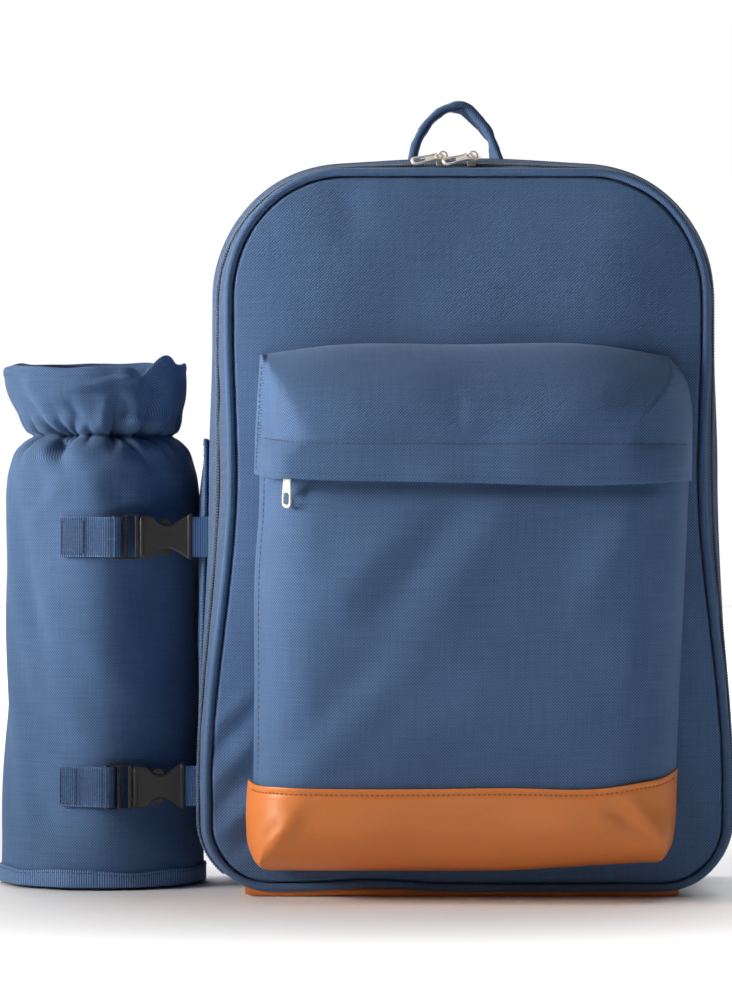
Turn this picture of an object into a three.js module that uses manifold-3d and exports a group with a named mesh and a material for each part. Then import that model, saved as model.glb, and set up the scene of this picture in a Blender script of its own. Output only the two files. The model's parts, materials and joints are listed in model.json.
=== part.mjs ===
// A picnic backpack: a soft zipped bag on a leather base, with a hooded front pocket, and a gathered
// bottle pouch buckled to its left side. Millimetres, +Z up. The front faces -Y, and +X is on the right
// seen from the front. The origin is the middle of the base's underside.
import * as THREE from "three";
import { mergeVertices } from "three/addons/utils/BufferGeometryUtils.js";
import Module from "manifold-3d";

const wasm = await Module();
wasm.setup();

// Sheet thicknesses and the gap between pieces that are sewn together
const CLOTH = 2;
const LEATHER = 1.8;
const BASE_LEATHER = 2.6;
const WEBBING = 1.5;
const TAPE = 1;
const GAP = 0.3;

// The bag's body
const FRONT_Y = -70;
const BACK_Y = 70;
const CROWN = 12; // bulge of the front panel
const PIPING_RADIUS = 2.5;
const PANEL_INSET = PIPING_RADIUS + 0.8;
const COIL_WIDTH = 3.4;
const COIL_HEIGHT = 1.5;
const BACK_PADDING = 8;
const BACK_CROWN = 4;
const BASE_LEFT = -118;
const BASE_RIGHT = 117;
const BASE_FRONT = -66;
const BASE_BACK = 62;

// Heights between which the body's sides run from the wide foot through the waist to the top
const LOW_Z = 60;
const WAIST_Z = 230;
const HIGH_Z = 310;

// Outlines of the body from front to back: depth behind the piping, half widths at the three heights,
// lowest and highest edge, and corner radii
const PIPING_RING = {
  depth: 0, low: 141, waist: 127.5, high: 129.5, foot: 6.8, head: 392.5, lowBend: 44, highBend: 66,
};
const TAPE_RINGS = [
  { depth: 3.2, low: 141.3, waist: 128.4, high: 130.4, foot: 6.2, head: 393.4, lowBend: 44, highBend: 66 },
  { depth: 11, low: 144.5, waist: 135, high: 135.5, foot: 4.6, head: 399, lowBend: 45, highBend: 72 },
  { depth: 18, low: 144, waist: 138.3, high: 138.3, foot: 4, head: 401.4, lowBend: 45, highBend: 78 },
];
const GUSSET_RINGS = [
  { depth: 18.4, low: 144, waist: 138.5, high: 138.5, foot: 4, head: 401.5, lowBend: 45, highBend: 78 },
  { depth: 40, low: 142, waist: 140, high: 140, foot: 3.1, head: 403, lowBend: 43, highBend: 82 },
  { depth: 82, low: 140.5, waist: 140.5, high: 140, foot: 3.1, head: 403, lowBend: 42, highBend: 82 },
  { depth: 126, low: 140, waist: 140, high: 139, foot: 3.1, head: 401, lowBend: 42, highBend: 80 },
  { depth: 138, low: 136, waist: 136, high: 135, foot: 6.6, head: 397, lowBend: 40, highBend: 76 },
];
// Steps along one half of an outline, from the middle of the foot to the middle of the head
const STEPS = { foot: 3, lowCorner: 5, side: 6, highCorner: 6, head: 3 };
const HALF_STEPS = STEPS.foot + STEPS.lowCorner + STEPS.side + STEPS.highCorner + STEPS.head;
const RING_POINTS = 2 * HALF_STEPS;
// A raised crease in the foot, left of the middle
const CREASE = { x: -52, width: 26, rise: 2.2 };
// Rings of the panels as shares of the way from the middle to the edge
const PANEL_SHARES = [1, 0.9, 0.7, 0.42, 0.1];

// The front pocket, seen from the front: edges of its pieces by height or by place across
const HOOD_SIDES = [
  { z: 222, left: -113, right: 121 },
  { z: 247, left: -112.4, right: 121.5 },
  { z: 272, left: -111.2, right: 120.5 },
  { z: 285, left: -110.4, right: 116.5 },
  { z: 299, left: -109.6, right: 108 },
];
const HOOD_TOP = [
  { x: -110, z: 293.4 },
  { x: -72, z: 298.3 },
  { x: 0, z: 298.8 },
  { x: 74, z: 298.3 },
  { x: 112, z: 292.3 },
];
const HOOD_HEM = [
  { x: -113, z: 227.7 },
  { x: -60, z: 224.4 },
  { x: 10, z: 222.4 },
  { x: 121, z: 225 },
];
const HOOD_DEPTH = [
  { z: 222, depth: 49 },
  { z: 236, depth: 48.4 },
  { z: 247, depth: 45 },
  { z: 272, depth: 46.5 },
  { z: 299, depth: 43 },
];
const BODY_SIDES = [
  { z: 50, left: -113.6, right: 112.8 },
  { z: 107, left: -112.8, right: 114.6 },
  { z: 180, left: -112.4, right: 116.4 },
  { z: 212, left: -110.2, right: 117.6 },
  { z: 229, left: -110, right: 117.8 },
];
const BODY_DEPTH = [
  { z: 50, depth: 40 },
  { z: 130, depth: 42 },
  { z: 229, depth: 39 },
];
const LEATHER_SIDES = [
  { z: 15, left: -97, right: 92 },
  { z: 19, left: -107, right: 103 },
  { z: 28, left: -114, right: 112 },
  { z: 45, left: -116.8, right: 115.4 },
  { z: 75, left: -116, right: 115.6 },
];
const LEATHER_TOP = [
  { x: -117, z: 67 },
  { x: -88, z: 63.5 },
  { x: -34, z: 61.9 },
  { x: 20, z: 62.4 },
  { x: 74, z: 65.6 },
  { x: 116, z: 73 },
];
const LEATHER_PROUD = 2.2; // leather stands this far outside the cloth that it is sewn on
const POCKET_FOOT = 15;
const POCKET_ROUND = 2.2; // exponent of the pocket's rounded edges: 2 is a quarter ellipse
const POCKET_EDGE = { body: 34, hood: 23, top: 27, foot: 24 }; // widths of the rounded edges
const POCKET_SEAT = 0.5;
const ZIP_LOW = 226;
const ZIP_HIGH = 244;
const ZIP_LINE = 232;
const ZIP_LEAN = 2.6;
const ZIP_LEFT = -102;
const ZIP_RIGHT = 108;

// The bottle pouch: a round wall on an upright axis
const POUCH_X = -200.8;
const POUCH_Y = 22;
const POUCH_FOOT = 2.2;
const POUCH_TURNS = 40;
const PLEATS = 10;
// Height, outside radius, depth of the pleats, lean to the left, and share of the rim's wave
const POUCH_ROWS = [
  { z: 2.2, radius: 57, pleat: 0, lean: 0, wave: 0 },
  { z: 45, radius: 56.4, pleat: 0, lean: 0, wave: 0 },
  { z: 110, radius: 55.3, pleat: 0, lean: 0, wave: 0 },
  { z: 205, radius: 54.5, pleat: 0, lean: 0, wave: 0 },
  { z: 224, radius: 53.8, pleat: 0.3, lean: 0, wave: 0 },
  { z: 234, radius: 51.5, pleat: 0.9, lean: 0, wave: 0 },
  { z: 243, radius: 46.5, pleat: 1.5, lean: 0, wave: 0 },
  { z: 250.5, radius: 41.6, pleat: 1.9, lean: 0.3, wave: 0 },
  { z: 257, radius: 43, pleat: 2, lean: 1, wave: 0.1 },
  { z: 268, radius: 46.5, pleat: 1.8, lean: 2.6, wave: 0.4 },
  { z: 280, radius: 49.2, pleat: 1.6, lean: 4, wave: 0.75 },
  { z: 290, radius: 50.7, pleat: 1.6, lean: 5, wave: 1 },
];
const RIM_WAVE = 3;
const HEM_HEIGHT = 9.5;
const HEM_THICK = 1.4;
const HEM_FOOT = 1.6;
const FLOOR_THICK = 2;

// Webbing and buckles of the pouch. Lengths are along the buckle from the looped bar's free edge
const WEB_WIDTH = 22;
const BUCKLE = {
  half: 12.4, male: 15.2, length: 44, rail: 1.1, bar: 2.4, slot: 3.8, ridge: 2.4, maleThick: 3.6,
  femaleThick: 7.6, cavity: 9.2, cavityEnd: 35, cavityThick: 4.3, armIn: 5.4, armOut: 8.7, button: 9.7,
  webSlot: 41, webRoom: 3.2,
};
const LOOP_INNER = 2.5;
// Height, place of the loop across, turn towards the back, and where its webbing meets the bag
const STRAPS = [
  { name: "upper", z: 194.7, barX: -190.8, turn: 4, wallX: 139.6 },
  { name: "lower", z: 57.4, barX: -194.6, turn: 11, wallX: 144.2 },
];
const SEWN_FROM = -22; // degrees round the pouch, from its front towards the bag

// Zip sliders and pulls
const SLIDER = {
  length: 9, width: 7.6, seat: 0.3, channel: 1.9, top: 2.8, loopIn: 1.5, wire: 0.9, wireWide: 1.2,
};
const PULL_HEIGHT = SLIDER.top + 0.95; // the pull's bar over the tape
const PULL = {
  width: 5.2, thick: 1, bar: 0.7, eye: 3.3, eyeWide: 3.6, length: 19, slotFrom: 9.5, slotTo: 16.8,
  slotWide: 2.2,
};
const TOP_SLIDERS = [
  { name: "left", x: -11, turn: 27 },
  { name: "right", x: 5.5, turn: 30 },
];
const POCKET_SLIDER_X = -94;
const POCKET_PULL = { pivot: 1.65, aside: 0.9, lean: 7 };

// Carrying loop: path of its middle, and its section
const HANDLE_Y = 54;
const HANDLE_WIDE = 18;
const HANDLE_THICK = 6;
const HANDLE_PATH = [
  { x: -27, z: 402.4 },
  { x: -25, z: 416 },
  { x: -20, z: 428 },
  { x: -11.5, z: 437.3 },
  { x: -1.5, z: 440.6 },
  { x: 8.5, z: 437.3 },
  { x: 16, z: 428 },
  { x: 21, z: 416 },
  { x: 23.5, z: 402.4 },
];

// Flat slip pocket on the left side
const SIDE_POCKET = { front: -30, back: 58, foot: 46, head: 249, puff: 1.2 };

// Shoulder straps on the back: path of the middle, width and thickness, for the right-hand strap
const SHOULDER_ROWS = [
  { x: 44, y: 75.6, z: 386, wide: 56, thick: 9 },
  { x: 44, y: 77.9, z: 368, wide: 58, thick: 11 },
  { x: 45, y: 95.4, z: 342, wide: 58, thick: 11 },
  { x: 48, y: 108, z: 300, wide: 58, thick: 11 },
  { x: 54, y: 109, z: 250, wide: 56, thick: 11 },
  { x: 61, y: 102, z: 200, wide: 50, thick: 10 },
  { x: 67, y: 95, z: 164, wide: 36, thick: 8 },
];
const LOW_WEB_ROWS = [
  { x: 67.2, y: 94.4, z: 162.8 },
  { x: 69.4, y: 92.8, z: 153 },
  { x: 78, y: 89.5, z: 126 },
  { x: 100, y: 81.6, z: 84 },
  { x: 124, y: 76.4, z: 54 },
  { x: 140, y: 74.7, z: 39 },
];
const LOW_WEB_WIDE = 20;
const TAB_Y = 71.35;
const TAB_THICK = 3;
const TAB_CORNERS = [
  { x: 116, z: 30 },
  { x: 146, z: 22 },
  { x: 155, z: 31 },
  { x: 152, z: 44 },
  { x: 124, z: 64 },
];

// Colours
const cloth = new THREE.MeshStandardMaterial({ color: 0x4d6894, roughness: 0.9 });
const trim = new THREE.MeshStandardMaterial({ color: 0x51698c, roughness: 0.9 });
const leather = new THREE.MeshStandardMaterial({ color: 0xb06a3e, roughness: 0.55 });
const nickel = new THREE.MeshStandardMaterial({ color: 0xb9b6b0, roughness: 0.3, metalness: 1 });
const plastic = new THREE.MeshStandardMaterial({ color: 0x212124, roughness: 0.45 });

const bag = new THREE.Group();
const degrees = THREE.MathUtils.degToRad;
const at = (x, y, z) => new THREE.Vector3(x, y, z);

function add(name, geometry, material) {
  const mesh = new THREE.Mesh(geometry, material);
  mesh.name = name;
  bag.add(mesh);
  return mesh;
}

// Numbers between table rows
function smoothStep(from, to, x) {
  return THREE.MathUtils.smoothstep(x, from, to);
}

function lookUp(rows, key, x, column) {
  let i = 0;
  while (i < rows.length - 2 && x > rows[i + 1][key]) i += 1;
  const share = THREE.MathUtils.clamp((x - rows[i][key]) / (rows[i + 1][key] - rows[i][key]), 0, 1);
  return THREE.MathUtils.lerp(rows[i][column], rows[i + 1][column], share);
}

// Closed geometry from vertices and triangles, turned so that its faces point out
function closed(points, faces) {
  let volume = 0;
  for (const [a, b, c] of faces) {
    volume += points[a].dot(points[b].clone().cross(points[c]));
  }
  const turned = volume < 0 ? faces.map(([a, b, c]) => [a, c, b]) : faces;
  const geometry = new THREE.BufferGeometry().setFromPoints(points);
  geometry.setIndex(turned.flat());
  geometry.computeVertexNormals();
  return geometry;
}

// The unit normals of a grid of points, from the differences along its rows and columns
function gridNormals(grid, wrap) {
  const last = grid.length - 1;
  return grid.map((row, i) =>
    row.map((_, j) => {
      const count = row.length;
      const before = wrap ? (j + count - 1) % count : Math.max(j - 1, 0);
      const after = wrap ? (j + 1) % count : Math.min(j + 1, count - 1);
      const across = row[after].clone().sub(row[before]);
      const along = grid[Math.min(i + 1, last)][j].clone().sub(grid[Math.max(i - 1, 0)][j]);
      return along.cross(across).normalize();
    }),
  );
}

// A sheet of even thickness from the grid of its outer face. It grows towards the inside point.
// wrap closes each row on itself, cap closes the last row, a small ring, in its middle, and hold moves
// the points of the inner face that would reach into a neighbour.
function sheet(grid, thickness, inside, { wrap = false, cap = false, hold = (p) => p } = {}) {
  const normals = gridNormals(grid, wrap);
  const rows = grid.length;
  const columns = grid[0].length;
  let side = 0;
  grid.forEach((row, i) => row.forEach((p, j) => (side += normals[i][j].dot(inside.clone().sub(p)))));
  const step = thickness * Math.sign(side);
  const outer = grid.flat();
  const inner = outer.map((p, k) => hold(p.clone().addScaledVector(normals.flat()[k], step)));
  const points = [...outer, ...inner];
  const shift = rows * columns;
  const faces = [];
  const quad = (a, b, c, d) => faces.push([a, b, c], [a, c, d]);
  const place = (i, j) => i * columns + (j % columns);
  const spans = wrap ? columns : columns - 1;
  for (let j = 0; j < spans; j += 1) {
    for (let i = 0; i < rows - 1; i += 1) {
      const corners = [place(i, j), place(i, j + 1), place(i + 1, j + 1), place(i + 1, j)];
      quad(...corners);
      quad(...corners.map((k) => k + shift).reverse());
    }
    quad(place(0, j + 1), place(0, j), place(0, j) + shift, place(0, j + 1) + shift);
    const end = [place(rows - 1, j), place(rows - 1, j + 1)];
    if (!cap) quad(end[0], end[1], end[1] + shift, end[0] + shift);
  }
  if (!wrap) {
    for (let i = 0; i < rows - 1; i += 1) {
      const right = [place(i, columns - 1), place(i + 1, columns - 1)];
      quad(place(i, 0), place(i + 1, 0), place(i + 1, 0) + shift, place(i, 0) + shift);
      quad(right[1], right[0], right[0] + shift, right[1] + shift);
    }
  }
  if (cap) {
    const middle = (list) => list.reduce((sum, p) => sum.add(p), at(0, 0, 0)).divideScalar(list.length);
    const hub = points.push(middle(outer.slice(-columns))) - 1;
    const innerHub = points.push(middle(inner.slice(-columns))) - 1;
    for (let j = 0; j < columns; j += 1) {
      const edge = [place(rows - 1, j), place(rows - 1, j + 1)];
      faces.push([edge[0], edge[1], hub], [edge[1] + shift, edge[0] + shift, innerHub]);
    }
  }
  return closed(points, faces);
}

// A solid through closed sections of equal point counts. loop joins the last section to the first.
function loft(sections, { loop = false } = {}) {
  const count = sections[0].length;
  const points = sections.flat();
  const faces = [];
  const spans = loop ? sections.length : sections.length - 1;
  for (let i = 0; i < spans; i += 1) {
    const next = (i + 1) % sections.length;
    for (let j = 0; j < count; j += 1) {
      const k = (j + 1) % count;
      const [a, b] = [i * count + j, i * count + k];
      const [c, d] = [next * count + k, next * count + j];
      faces.push([a, b, c], [a, c, d]);
    }
  }
  if (!loop) {
    const start = (sections.length - 1) * count;
    for (let j = 1; j < count - 1; j += 1) {
      faces.push([0, j + 1, j], [start, start + j, start + j + 1]);
    }
  }
  return closed(points, faces);
}

// A rounded section: corner points of an ellipse-like oval in the plane of two directions
function oval(middle, wideWay, thickWay, wide, thick, count) {
  return Array.from({ length: count }, (_, k) => {
    const turn = (2 * Math.PI * (k + 0.5)) / count;
    const [c, s] = [Math.cos(turn), Math.sin(turn)];
    const across = Math.sign(c) * Math.abs(c) ** 0.6 * wide * 0.5;
    const out = Math.sign(s) * Math.abs(s) ** 0.6 * thick * 0.5;
    return middle.clone().addScaledVector(wideWay, across).addScaledVector(thickWay, out);
  });
}

// The direction along a list of points at one of them
function direction(list, i, loop = false) {
  const count = list.length;
  const after = loop ? list[(i + 1) % count] : list[Math.min(i + 1, count - 1)];
  const before = loop ? list[(i + count - 1) % count] : list[Math.max(i - 1, 0)];
  return after.clone().sub(before).normalize();
}

// Joining and cutting
function solidOf(geometry) {
  const bare = geometry.clone();
  bare.deleteAttribute("normal");
  bare.deleteAttribute("uv");
  const merged = mergeVertices(bare, 1e-4);
  return new wasm.Manifold(
    new wasm.Mesh({
      numProp: 3,
      vertProperties: Float32Array.from(merged.getAttribute("position").array),
      triVerts: Uint32Array.from(merged.getIndex().array),
    }),
  );
}

function geometryOf(solid) {
  const { vertProperties, triVerts } = solid.getMesh();
  const geometry = new THREE.BufferGeometry();
  geometry.setAttribute("position", new THREE.BufferAttribute(Float32Array.from(vertProperties), 3));
  geometry.setIndex(Array.from(triVerts));
  geometry.computeVertexNormals();
  return geometry;
}

// A flat shape from corner points, and a plate of it that is centred on its own plane
function flatShape(corners) {
  return new THREE.Shape(corners.map(([x, y]) => new THREE.Vector2(x, y)));
}

function plate(shape, thick) {
  const geometry = new THREE.ExtrudeGeometry(shape, { depth: thick, bevelEnabled: false, curveSegments: 5 });
  return geometry.translate(0, 0, -thick / 2);
}

function block(xFrom, xTo, yFrom, yTo, zFrom, zTo) {
  const geometry = new THREE.BoxGeometry(xTo - xFrom, yTo - yFrom, zTo - zFrom);
  return geometry.translate((xFrom + xTo) / 2, (yFrom + yTo) / 2, (zFrom + zTo) / 2);
}

// Outlines of the body
function halfWidth(ring, z) {
  const toWaist = (ring.waist - ring.low) * smoothStep(LOW_Z, WAIST_Z, z);
  const toHigh = (ring.high - ring.waist) * smoothStep(WAIST_Z, HIGH_Z, z);
  return ring.low + toWaist + toHigh;
}

function crease(x) {
  return CREASE.rise * Math.exp(-(((x - CREASE.x) / CREASE.width) ** 2));
}

// One half of an outline as pairs of width and height, from the foot's middle to the head's middle
function halfOutline(ring, inset) {
  const half = ring.low - inset;
  const foot = ring.foot + inset;
  const head = ring.head - inset;
  const low = ring.lowBend - inset;
  const high = ring.highBend - inset;
  const places = [];
  const run = (steps, place) => {
    for (let k = 0; k < steps; k += 1) places.push(place(k / steps));
  };
  const sine = (t) => Math.sin((Math.PI / 2) * t);
  const cosine = (t) => Math.cos((Math.PI / 2) * t);
  run(STEPS.foot, (t) => [(half - low) * t, foot]);
  run(STEPS.lowCorner, (t) => [half - low + low * sine(t), foot + low - low * cosine(t)]);
  run(STEPS.side, (t) => [half, THREE.MathUtils.lerp(foot + low, head - high, t)]);
  run(STEPS.highCorner, (t) => [half - high + high * cosine(t), head - high + high * sine(t)]);
  run(STEPS.head, (t) => [(half - high) * (1 - t), head]);
  places.push([0, head]);
  return places.map(([x, z]) => [(x * (halfWidth(ring, z) - inset)) / half, z]);
}

// The whole outline, from the foot's middle to the right and round
function outline(ring, inset = 0) {
  const right = halfOutline(ring, inset);
  const left = right.slice(1, -1).reverse().map(([x, z]) => [-x, z]);
  return [...right, ...left].map(([x, z]) => {
    const low = 1 - smoothStep(ring.foot, ring.foot + 14, z);
    return { x, z: z + crease(x) * low };
  });
}

// Share of the way from the front panel's middle to its edge
const PANEL_MIDDLE = (PIPING_RING.foot + PIPING_RING.head) / 2;
const PANEL_HALF = (PIPING_RING.head - PIPING_RING.foot) / 2;
function edgeShare(x, z) {
  const aside = Math.abs(x) / halfWidth(PIPING_RING, z);
  const away = Math.abs(z - PANEL_MIDDLE) / PANEL_HALF;
  return (aside ** 5 + away ** 5) ** 0.2;
}

function panelY(x, z) {
  return FRONT_Y - CROWN * (1 - edgeShare(x, z) ** 3);
}

function backY(x, z) {
  return BACK_Y + BACK_CROWN * (1 - Math.min(edgeShare(x, z), 1) ** 4);
}

function panelGrid(ring, inset, yAt) {
  const edge = outline(ring, inset);
  return PANEL_SHARES.map((share) =>
    edge.map(({ x, z }) => {
      const [px, pz] = [x * share, PANEL_MIDDLE + (z - PANEL_MIDDLE) * share];
      return at(px, yAt(px, pz), pz);
    }),
  );
}

const BAG_MIDDLE = at(0, 0, 200);
const LID_MIDDLE = at(0, FRONT_Y + 60, 200);

function frontPanel() {
  return sheet(panelGrid(PIPING_RING, PANEL_INSET, (x, z) => panelY(x, z) - CLOTH / 2), CLOTH, LID_MIDDLE, {
    wrap: true,
    cap: true,
  });
}

function backPanel() {
  const rear = GUSSET_RINGS[GUSSET_RINGS.length - 1];
  return sheet(panelGrid(rear, CLOTH + 2 * GAP, backY), BACK_PADDING, BAG_MIDDLE, { wrap: true, cap: true });
}

function piping() {
  const path = outline(PIPING_RING).map(({ x, z }) => at(x, panelY(x, z), z));
  const away = at(0, 1, 0);
  const sections = path.map((p, i) => {
    const out = direction(path, i, true).cross(away).normalize();
    return Array.from({ length: 6 }, (_, k) => {
      const turn = (Math.PI * k) / 3;
      const aside = p.clone().addScaledVector(out, PIPING_RADIUS * Math.cos(turn));
      return aside.addScaledVector(away, PIPING_RADIUS * Math.sin(turn));
    });
  });
  return loft(sections, { loop: true });
}

// Points of a ring in space. Rings at the piping follow the front panel's bulge.
function ringPoints(ring) {
  const near = 1 - smoothStep(0, 14, ring.depth);
  return outline(ring).map(({ x, z }) => {
    const bulge = panelY(x, z) - FRONT_Y;
    return at(x, FRONT_Y + ring.depth + bulge * near, z);
  });
}

// The zip runs from part way up one low corner, over the head, to the other
const ZIP_FROM = STEPS.foot + 2;
const ZIP_TO = RING_POINTS - ZIP_FROM;
function zipGrid() {
  return TAPE_RINGS.map((ring) => ringPoints(ring).slice(ZIP_FROM, ZIP_TO + 1));
}

function zipTape() {
  return sheet(zipGrid(), TAPE, BAG_MIDDLE);
}

function coilAlong(path, normals) {
  const sections = path.map((p, i) => {
    const out = normals[i];
    const across = direction(path, i).cross(out).normalize();
    const middle = p.clone().addScaledVector(out, GAP + COIL_HEIGHT / 2);
    return oval(middle, across, out, COIL_WIDTH, COIL_HEIGHT, 4);
  });
  return loft(sections);
}

// Outward normals of a grid, whichever way it runs
function outNormals(grid, inside) {
  const normals = gridNormals(grid, false);
  let side = 0;
  grid.forEach((row, i) => row.forEach((p, j) => (side += normals[i][j].dot(p.clone().sub(inside)))));
  return normals.map((row) => row.map((n) => n.multiplyScalar(Math.sign(side))));
}

function zipCoil() {
  const grid = zipGrid();
  return coilAlong(grid[1], outNormals(grid, BAG_MIDDLE)[1]);
}

// Cloth strip along the foot, between the ends of the zip
function lidHinge() {
  const grid = TAPE_RINGS.map((ring) => {
    const points = ringPoints(ring);
    const run = [...points.slice(ZIP_TO), ...points.slice(0, ZIP_FROM + 1)];
    const shrink = 1 - (2 * GAP) / points[ZIP_FROM].x;
    return run.map((p) => at(p.x * shrink, p.y, p.z));
  });
  return sheet(grid, TAPE, BAG_MIDDLE);
}

function gusset() {
  const grid = GUSSET_RINGS.map((ring) => ringPoints(ring));
  return sheet(grid, CLOTH, BAG_MIDDLE, { wrap: true });
}

// The base follows the turn-up of the body's low corners at its ends
function basePanel() {
  const ring = GUSSET_RINGS[2];
  const flat = ring.low - ring.lowBend + 2;
  const rise = (x) => {
    const past = Math.max(Math.abs(x) - flat, 0);
    return ring.lowBend - Math.sqrt(ring.lowBend ** 2 - past ** 2);
  };
  const xs = [BASE_LEFT, -108, -98, -80, -66, -52, -38, -24, 0, 50, 98, 108, BASE_RIGHT];
  const ys = [BASE_FRONT, BASE_FRONT + 14, BASE_FRONT + 28, 0, BASE_BACK];
  const grid = ys.map((y) => {
    const near = 1 - smoothStep(BASE_FRONT, BASE_FRONT + 28, y);
    return xs.map((x) => at(x, y, rise(x) + crease(x) * near));
  });
  return sheet(grid, BASE_LEATHER, BAG_MIDDLE);
}

// Height of the pocket's outer face over the front panel, from the distances to its edges
function pocketRise(depth, distances) {
  const share = THREE.MathUtils.clamp(Math.min(...distances), 0, 1);
  return depth * (1 - (1 - share) ** POCKET_ROUND) ** (1 / POCKET_ROUND);
}

function pocketPoint(x, z, rise) {
  return at(x, panelY(x, z) - CLOTH / 2 - POCKET_SEAT - rise, z);
}

// Keeps the inner face of a pocket piece in front of the panel
function offPanel(p) {
  p.y = Math.min(p.y, pocketPoint(p.x, p.z, 0).y);
  return p;
}

// Places across, closer together near both edges
function acrossShares(steps) {
  return Array.from({ length: steps + 1 }, (_, k) => 0.5 - 0.5 * Math.cos((Math.PI * k) / steps));
}

function bodyRise(x, z) {
  const fromLeft = (x - lookUp(BODY_SIDES, "z", z, "left")) / POCKET_EDGE.body;
  const fromRight = (lookUp(BODY_SIDES, "z", z, "right") - x) / POCKET_EDGE.body;
  return pocketRise(lookUp(BODY_DEPTH, "z", z, "depth"), [fromLeft, fromRight]);
}

const POCKET_MIDDLE = at(0, FRONT_Y - 10, 130);

function pocketBody() {
  const heights = [50, 76, 107, 144, 180, 212, 229];
  const grid = heights.map((z) =>
    acrossShares(18).map((share) => {
      const [left, right] = ["left", "right"].map((side) => lookUp(BODY_SIDES, "z", z, side));
      const x = THREE.MathUtils.lerp(left, right, share);
      return pocketPoint(x, z, bodyRise(x, z));
    }),
  );
  return sheet(grid, CLOTH, POCKET_MIDDLE, { hold: offPanel });
}

function pocketHood() {
  const shares = [0, 0.17, 0.36, 0.58, 0.78, 0.91, 0.98, 1];
  const grid = shares.map((up) =>
    acrossShares(18).map((share) => {
      const nominal = THREE.MathUtils.lerp(224, 297, up);
      const [left, right] = ["left", "right"].map((side) => lookUp(HOOD_SIDES, "z", nominal, side));
      const x = THREE.MathUtils.lerp(left, right, share);
      const top = lookUp(HOOD_TOP, "x", x, "z");
      const z = THREE.MathUtils.lerp(lookUp(HOOD_HEM, "x", x, "z"), top, up);
      const fromTop = (top - z) / POCKET_EDGE.top;
      const sides = [(x - left) / POCKET_EDGE.hood, (right - x) / POCKET_EDGE.hood];
      return pocketPoint(x, z, pocketRise(lookUp(HOOD_DEPTH, "z", z, "depth"), [...sides, fromTop]));
    }),
  );
  return sheet(grid, CLOTH, at(0, FRONT_Y - 10, 240), { hold: offPanel });
}

function pocketLeather() {
  const shares = [0, 0.02, 0.09, 0.22, 0.42, 0.7, 1];
  const grid = shares.map((up) =>
    acrossShares(18).map((share) => {
      const nominal = THREE.MathUtils.lerp(POCKET_FOOT, 66, up);
      const [left, right] = ["left", "right"].map((side) => lookUp(LEATHER_SIDES, "z", nominal, side));
      const x = THREE.MathUtils.lerp(left, right, share);
      const z = THREE.MathUtils.lerp(POCKET_FOOT, lookUp(LEATHER_TOP, "x", x, "z"), up);
      const fromFoot = (z - POCKET_FOOT) / POCKET_EDGE.foot;
      const sides = [(x - left) / POCKET_EDGE.body, (right - x) / POCKET_EDGE.body];
      const depth = lookUp(BODY_DEPTH, "z", z, "depth") + LEATHER_PROUD;
      return pocketPoint(x, z, pocketRise(depth, [...sides, fromFoot]));
    }),
  );
  return sheet(grid, LEATHER, at(0, FRONT_Y - 10, 50), { hold: offPanel });
}

// The pocket's zip leans from the body's face to the inside of the hood
function pocketZipPoint(x, z) {
  const lean = (ZIP_LEAN * (z - ZIP_LOW)) / (ZIP_HIGH - ZIP_LOW);
  return pocketPoint(x, z, bodyRise(x, Math.min(z, 229)) + 2.5 * GAP + TAPE + lean);
}

function pocketZipGrid() {
  const xs = acrossShares(14).map((share) => THREE.MathUtils.lerp(ZIP_LEFT, ZIP_RIGHT, share));
  return [ZIP_LOW, ZIP_LINE, ZIP_HIGH].map((z) => xs.map((x) => pocketZipPoint(x, z)));
}

function pocketZip() {
  return sheet(pocketZipGrid(), TAPE, POCKET_MIDDLE);
}

function pocketCoil() {
  const grid = pocketZipGrid();
  return coilAlong(grid[1], outNormals(grid, POCKET_MIDDLE)[1]);
}

// The pouch's wall: a point by row and by turn from the front towards the bag
function pouchPoint(row, turn, inset = 0) {
  const radius = row.radius - inset + row.pleat * Math.cos(PLEATS * turn);
  const rim = RIM_WAVE * (0.6 * Math.cos(2 * turn - 2.4) + 0.4 * Math.cos(5 * turn + 0.8));
  const x = POUCH_X - row.lean + radius * Math.sin(turn);
  return at(x, POUCH_Y - radius * Math.cos(turn), row.z + row.wave * rim);
}

function turnsRound(count) {
  return Array.from({ length: count }, (_, k) => (2 * Math.PI * k) / count);
}

function pouchRadius(z) {
  return lookUp(POUCH_ROWS, "z", z, "radius");
}

const POUCH_MIDDLE = at(POUCH_X, POUCH_Y, 150);

function pouchWall() {
  const grid = POUCH_ROWS.map((row) => turnsRound(POUCH_TURNS).map((turn) => pouchPoint(row, turn)));
  return sheet(grid, CLOTH, POUCH_MIDDLE, { wrap: true });
}

function pouchFloor() {
  const radius = POUCH_ROWS[0].radius - CLOTH - GAP - 0.2;
  const geometry = new THREE.CylinderGeometry(radius, radius, FLOOR_THICK, POUCH_TURNS / 2);
  geometry.rotateX(Math.PI / 2);
  return geometry.translate(POUCH_X, POUCH_Y, POUCH_FOOT + FLOOR_THICK / 2);
}

function pouchHem() {
  const radius = POUCH_ROWS[0].radius + GAP + HEM_THICK;
  const grid = [HEM_FOOT, HEM_FOOT + HEM_HEIGHT].map((z) =>
    turnsRound(POUCH_TURNS).map((turn) => {
      return at(POUCH_X + radius * Math.sin(turn), POUCH_Y - radius * Math.cos(turn), z);
    }),
  );
  return sheet(grid, HEM_THICK, POUCH_MIDDLE, { wrap: true });
}

// Where a strap's looped bar stands, seen from above
function barPlace(strap) {
  const reach = pouchRadius(strap.z) + GAP + LOOP_INNER + WEBBING + 0.1;
  const x = strap.barX;
  return { x, y: POUCH_Y - Math.sqrt(reach ** 2 - (x - POUCH_X) ** 2) };
}

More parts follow.
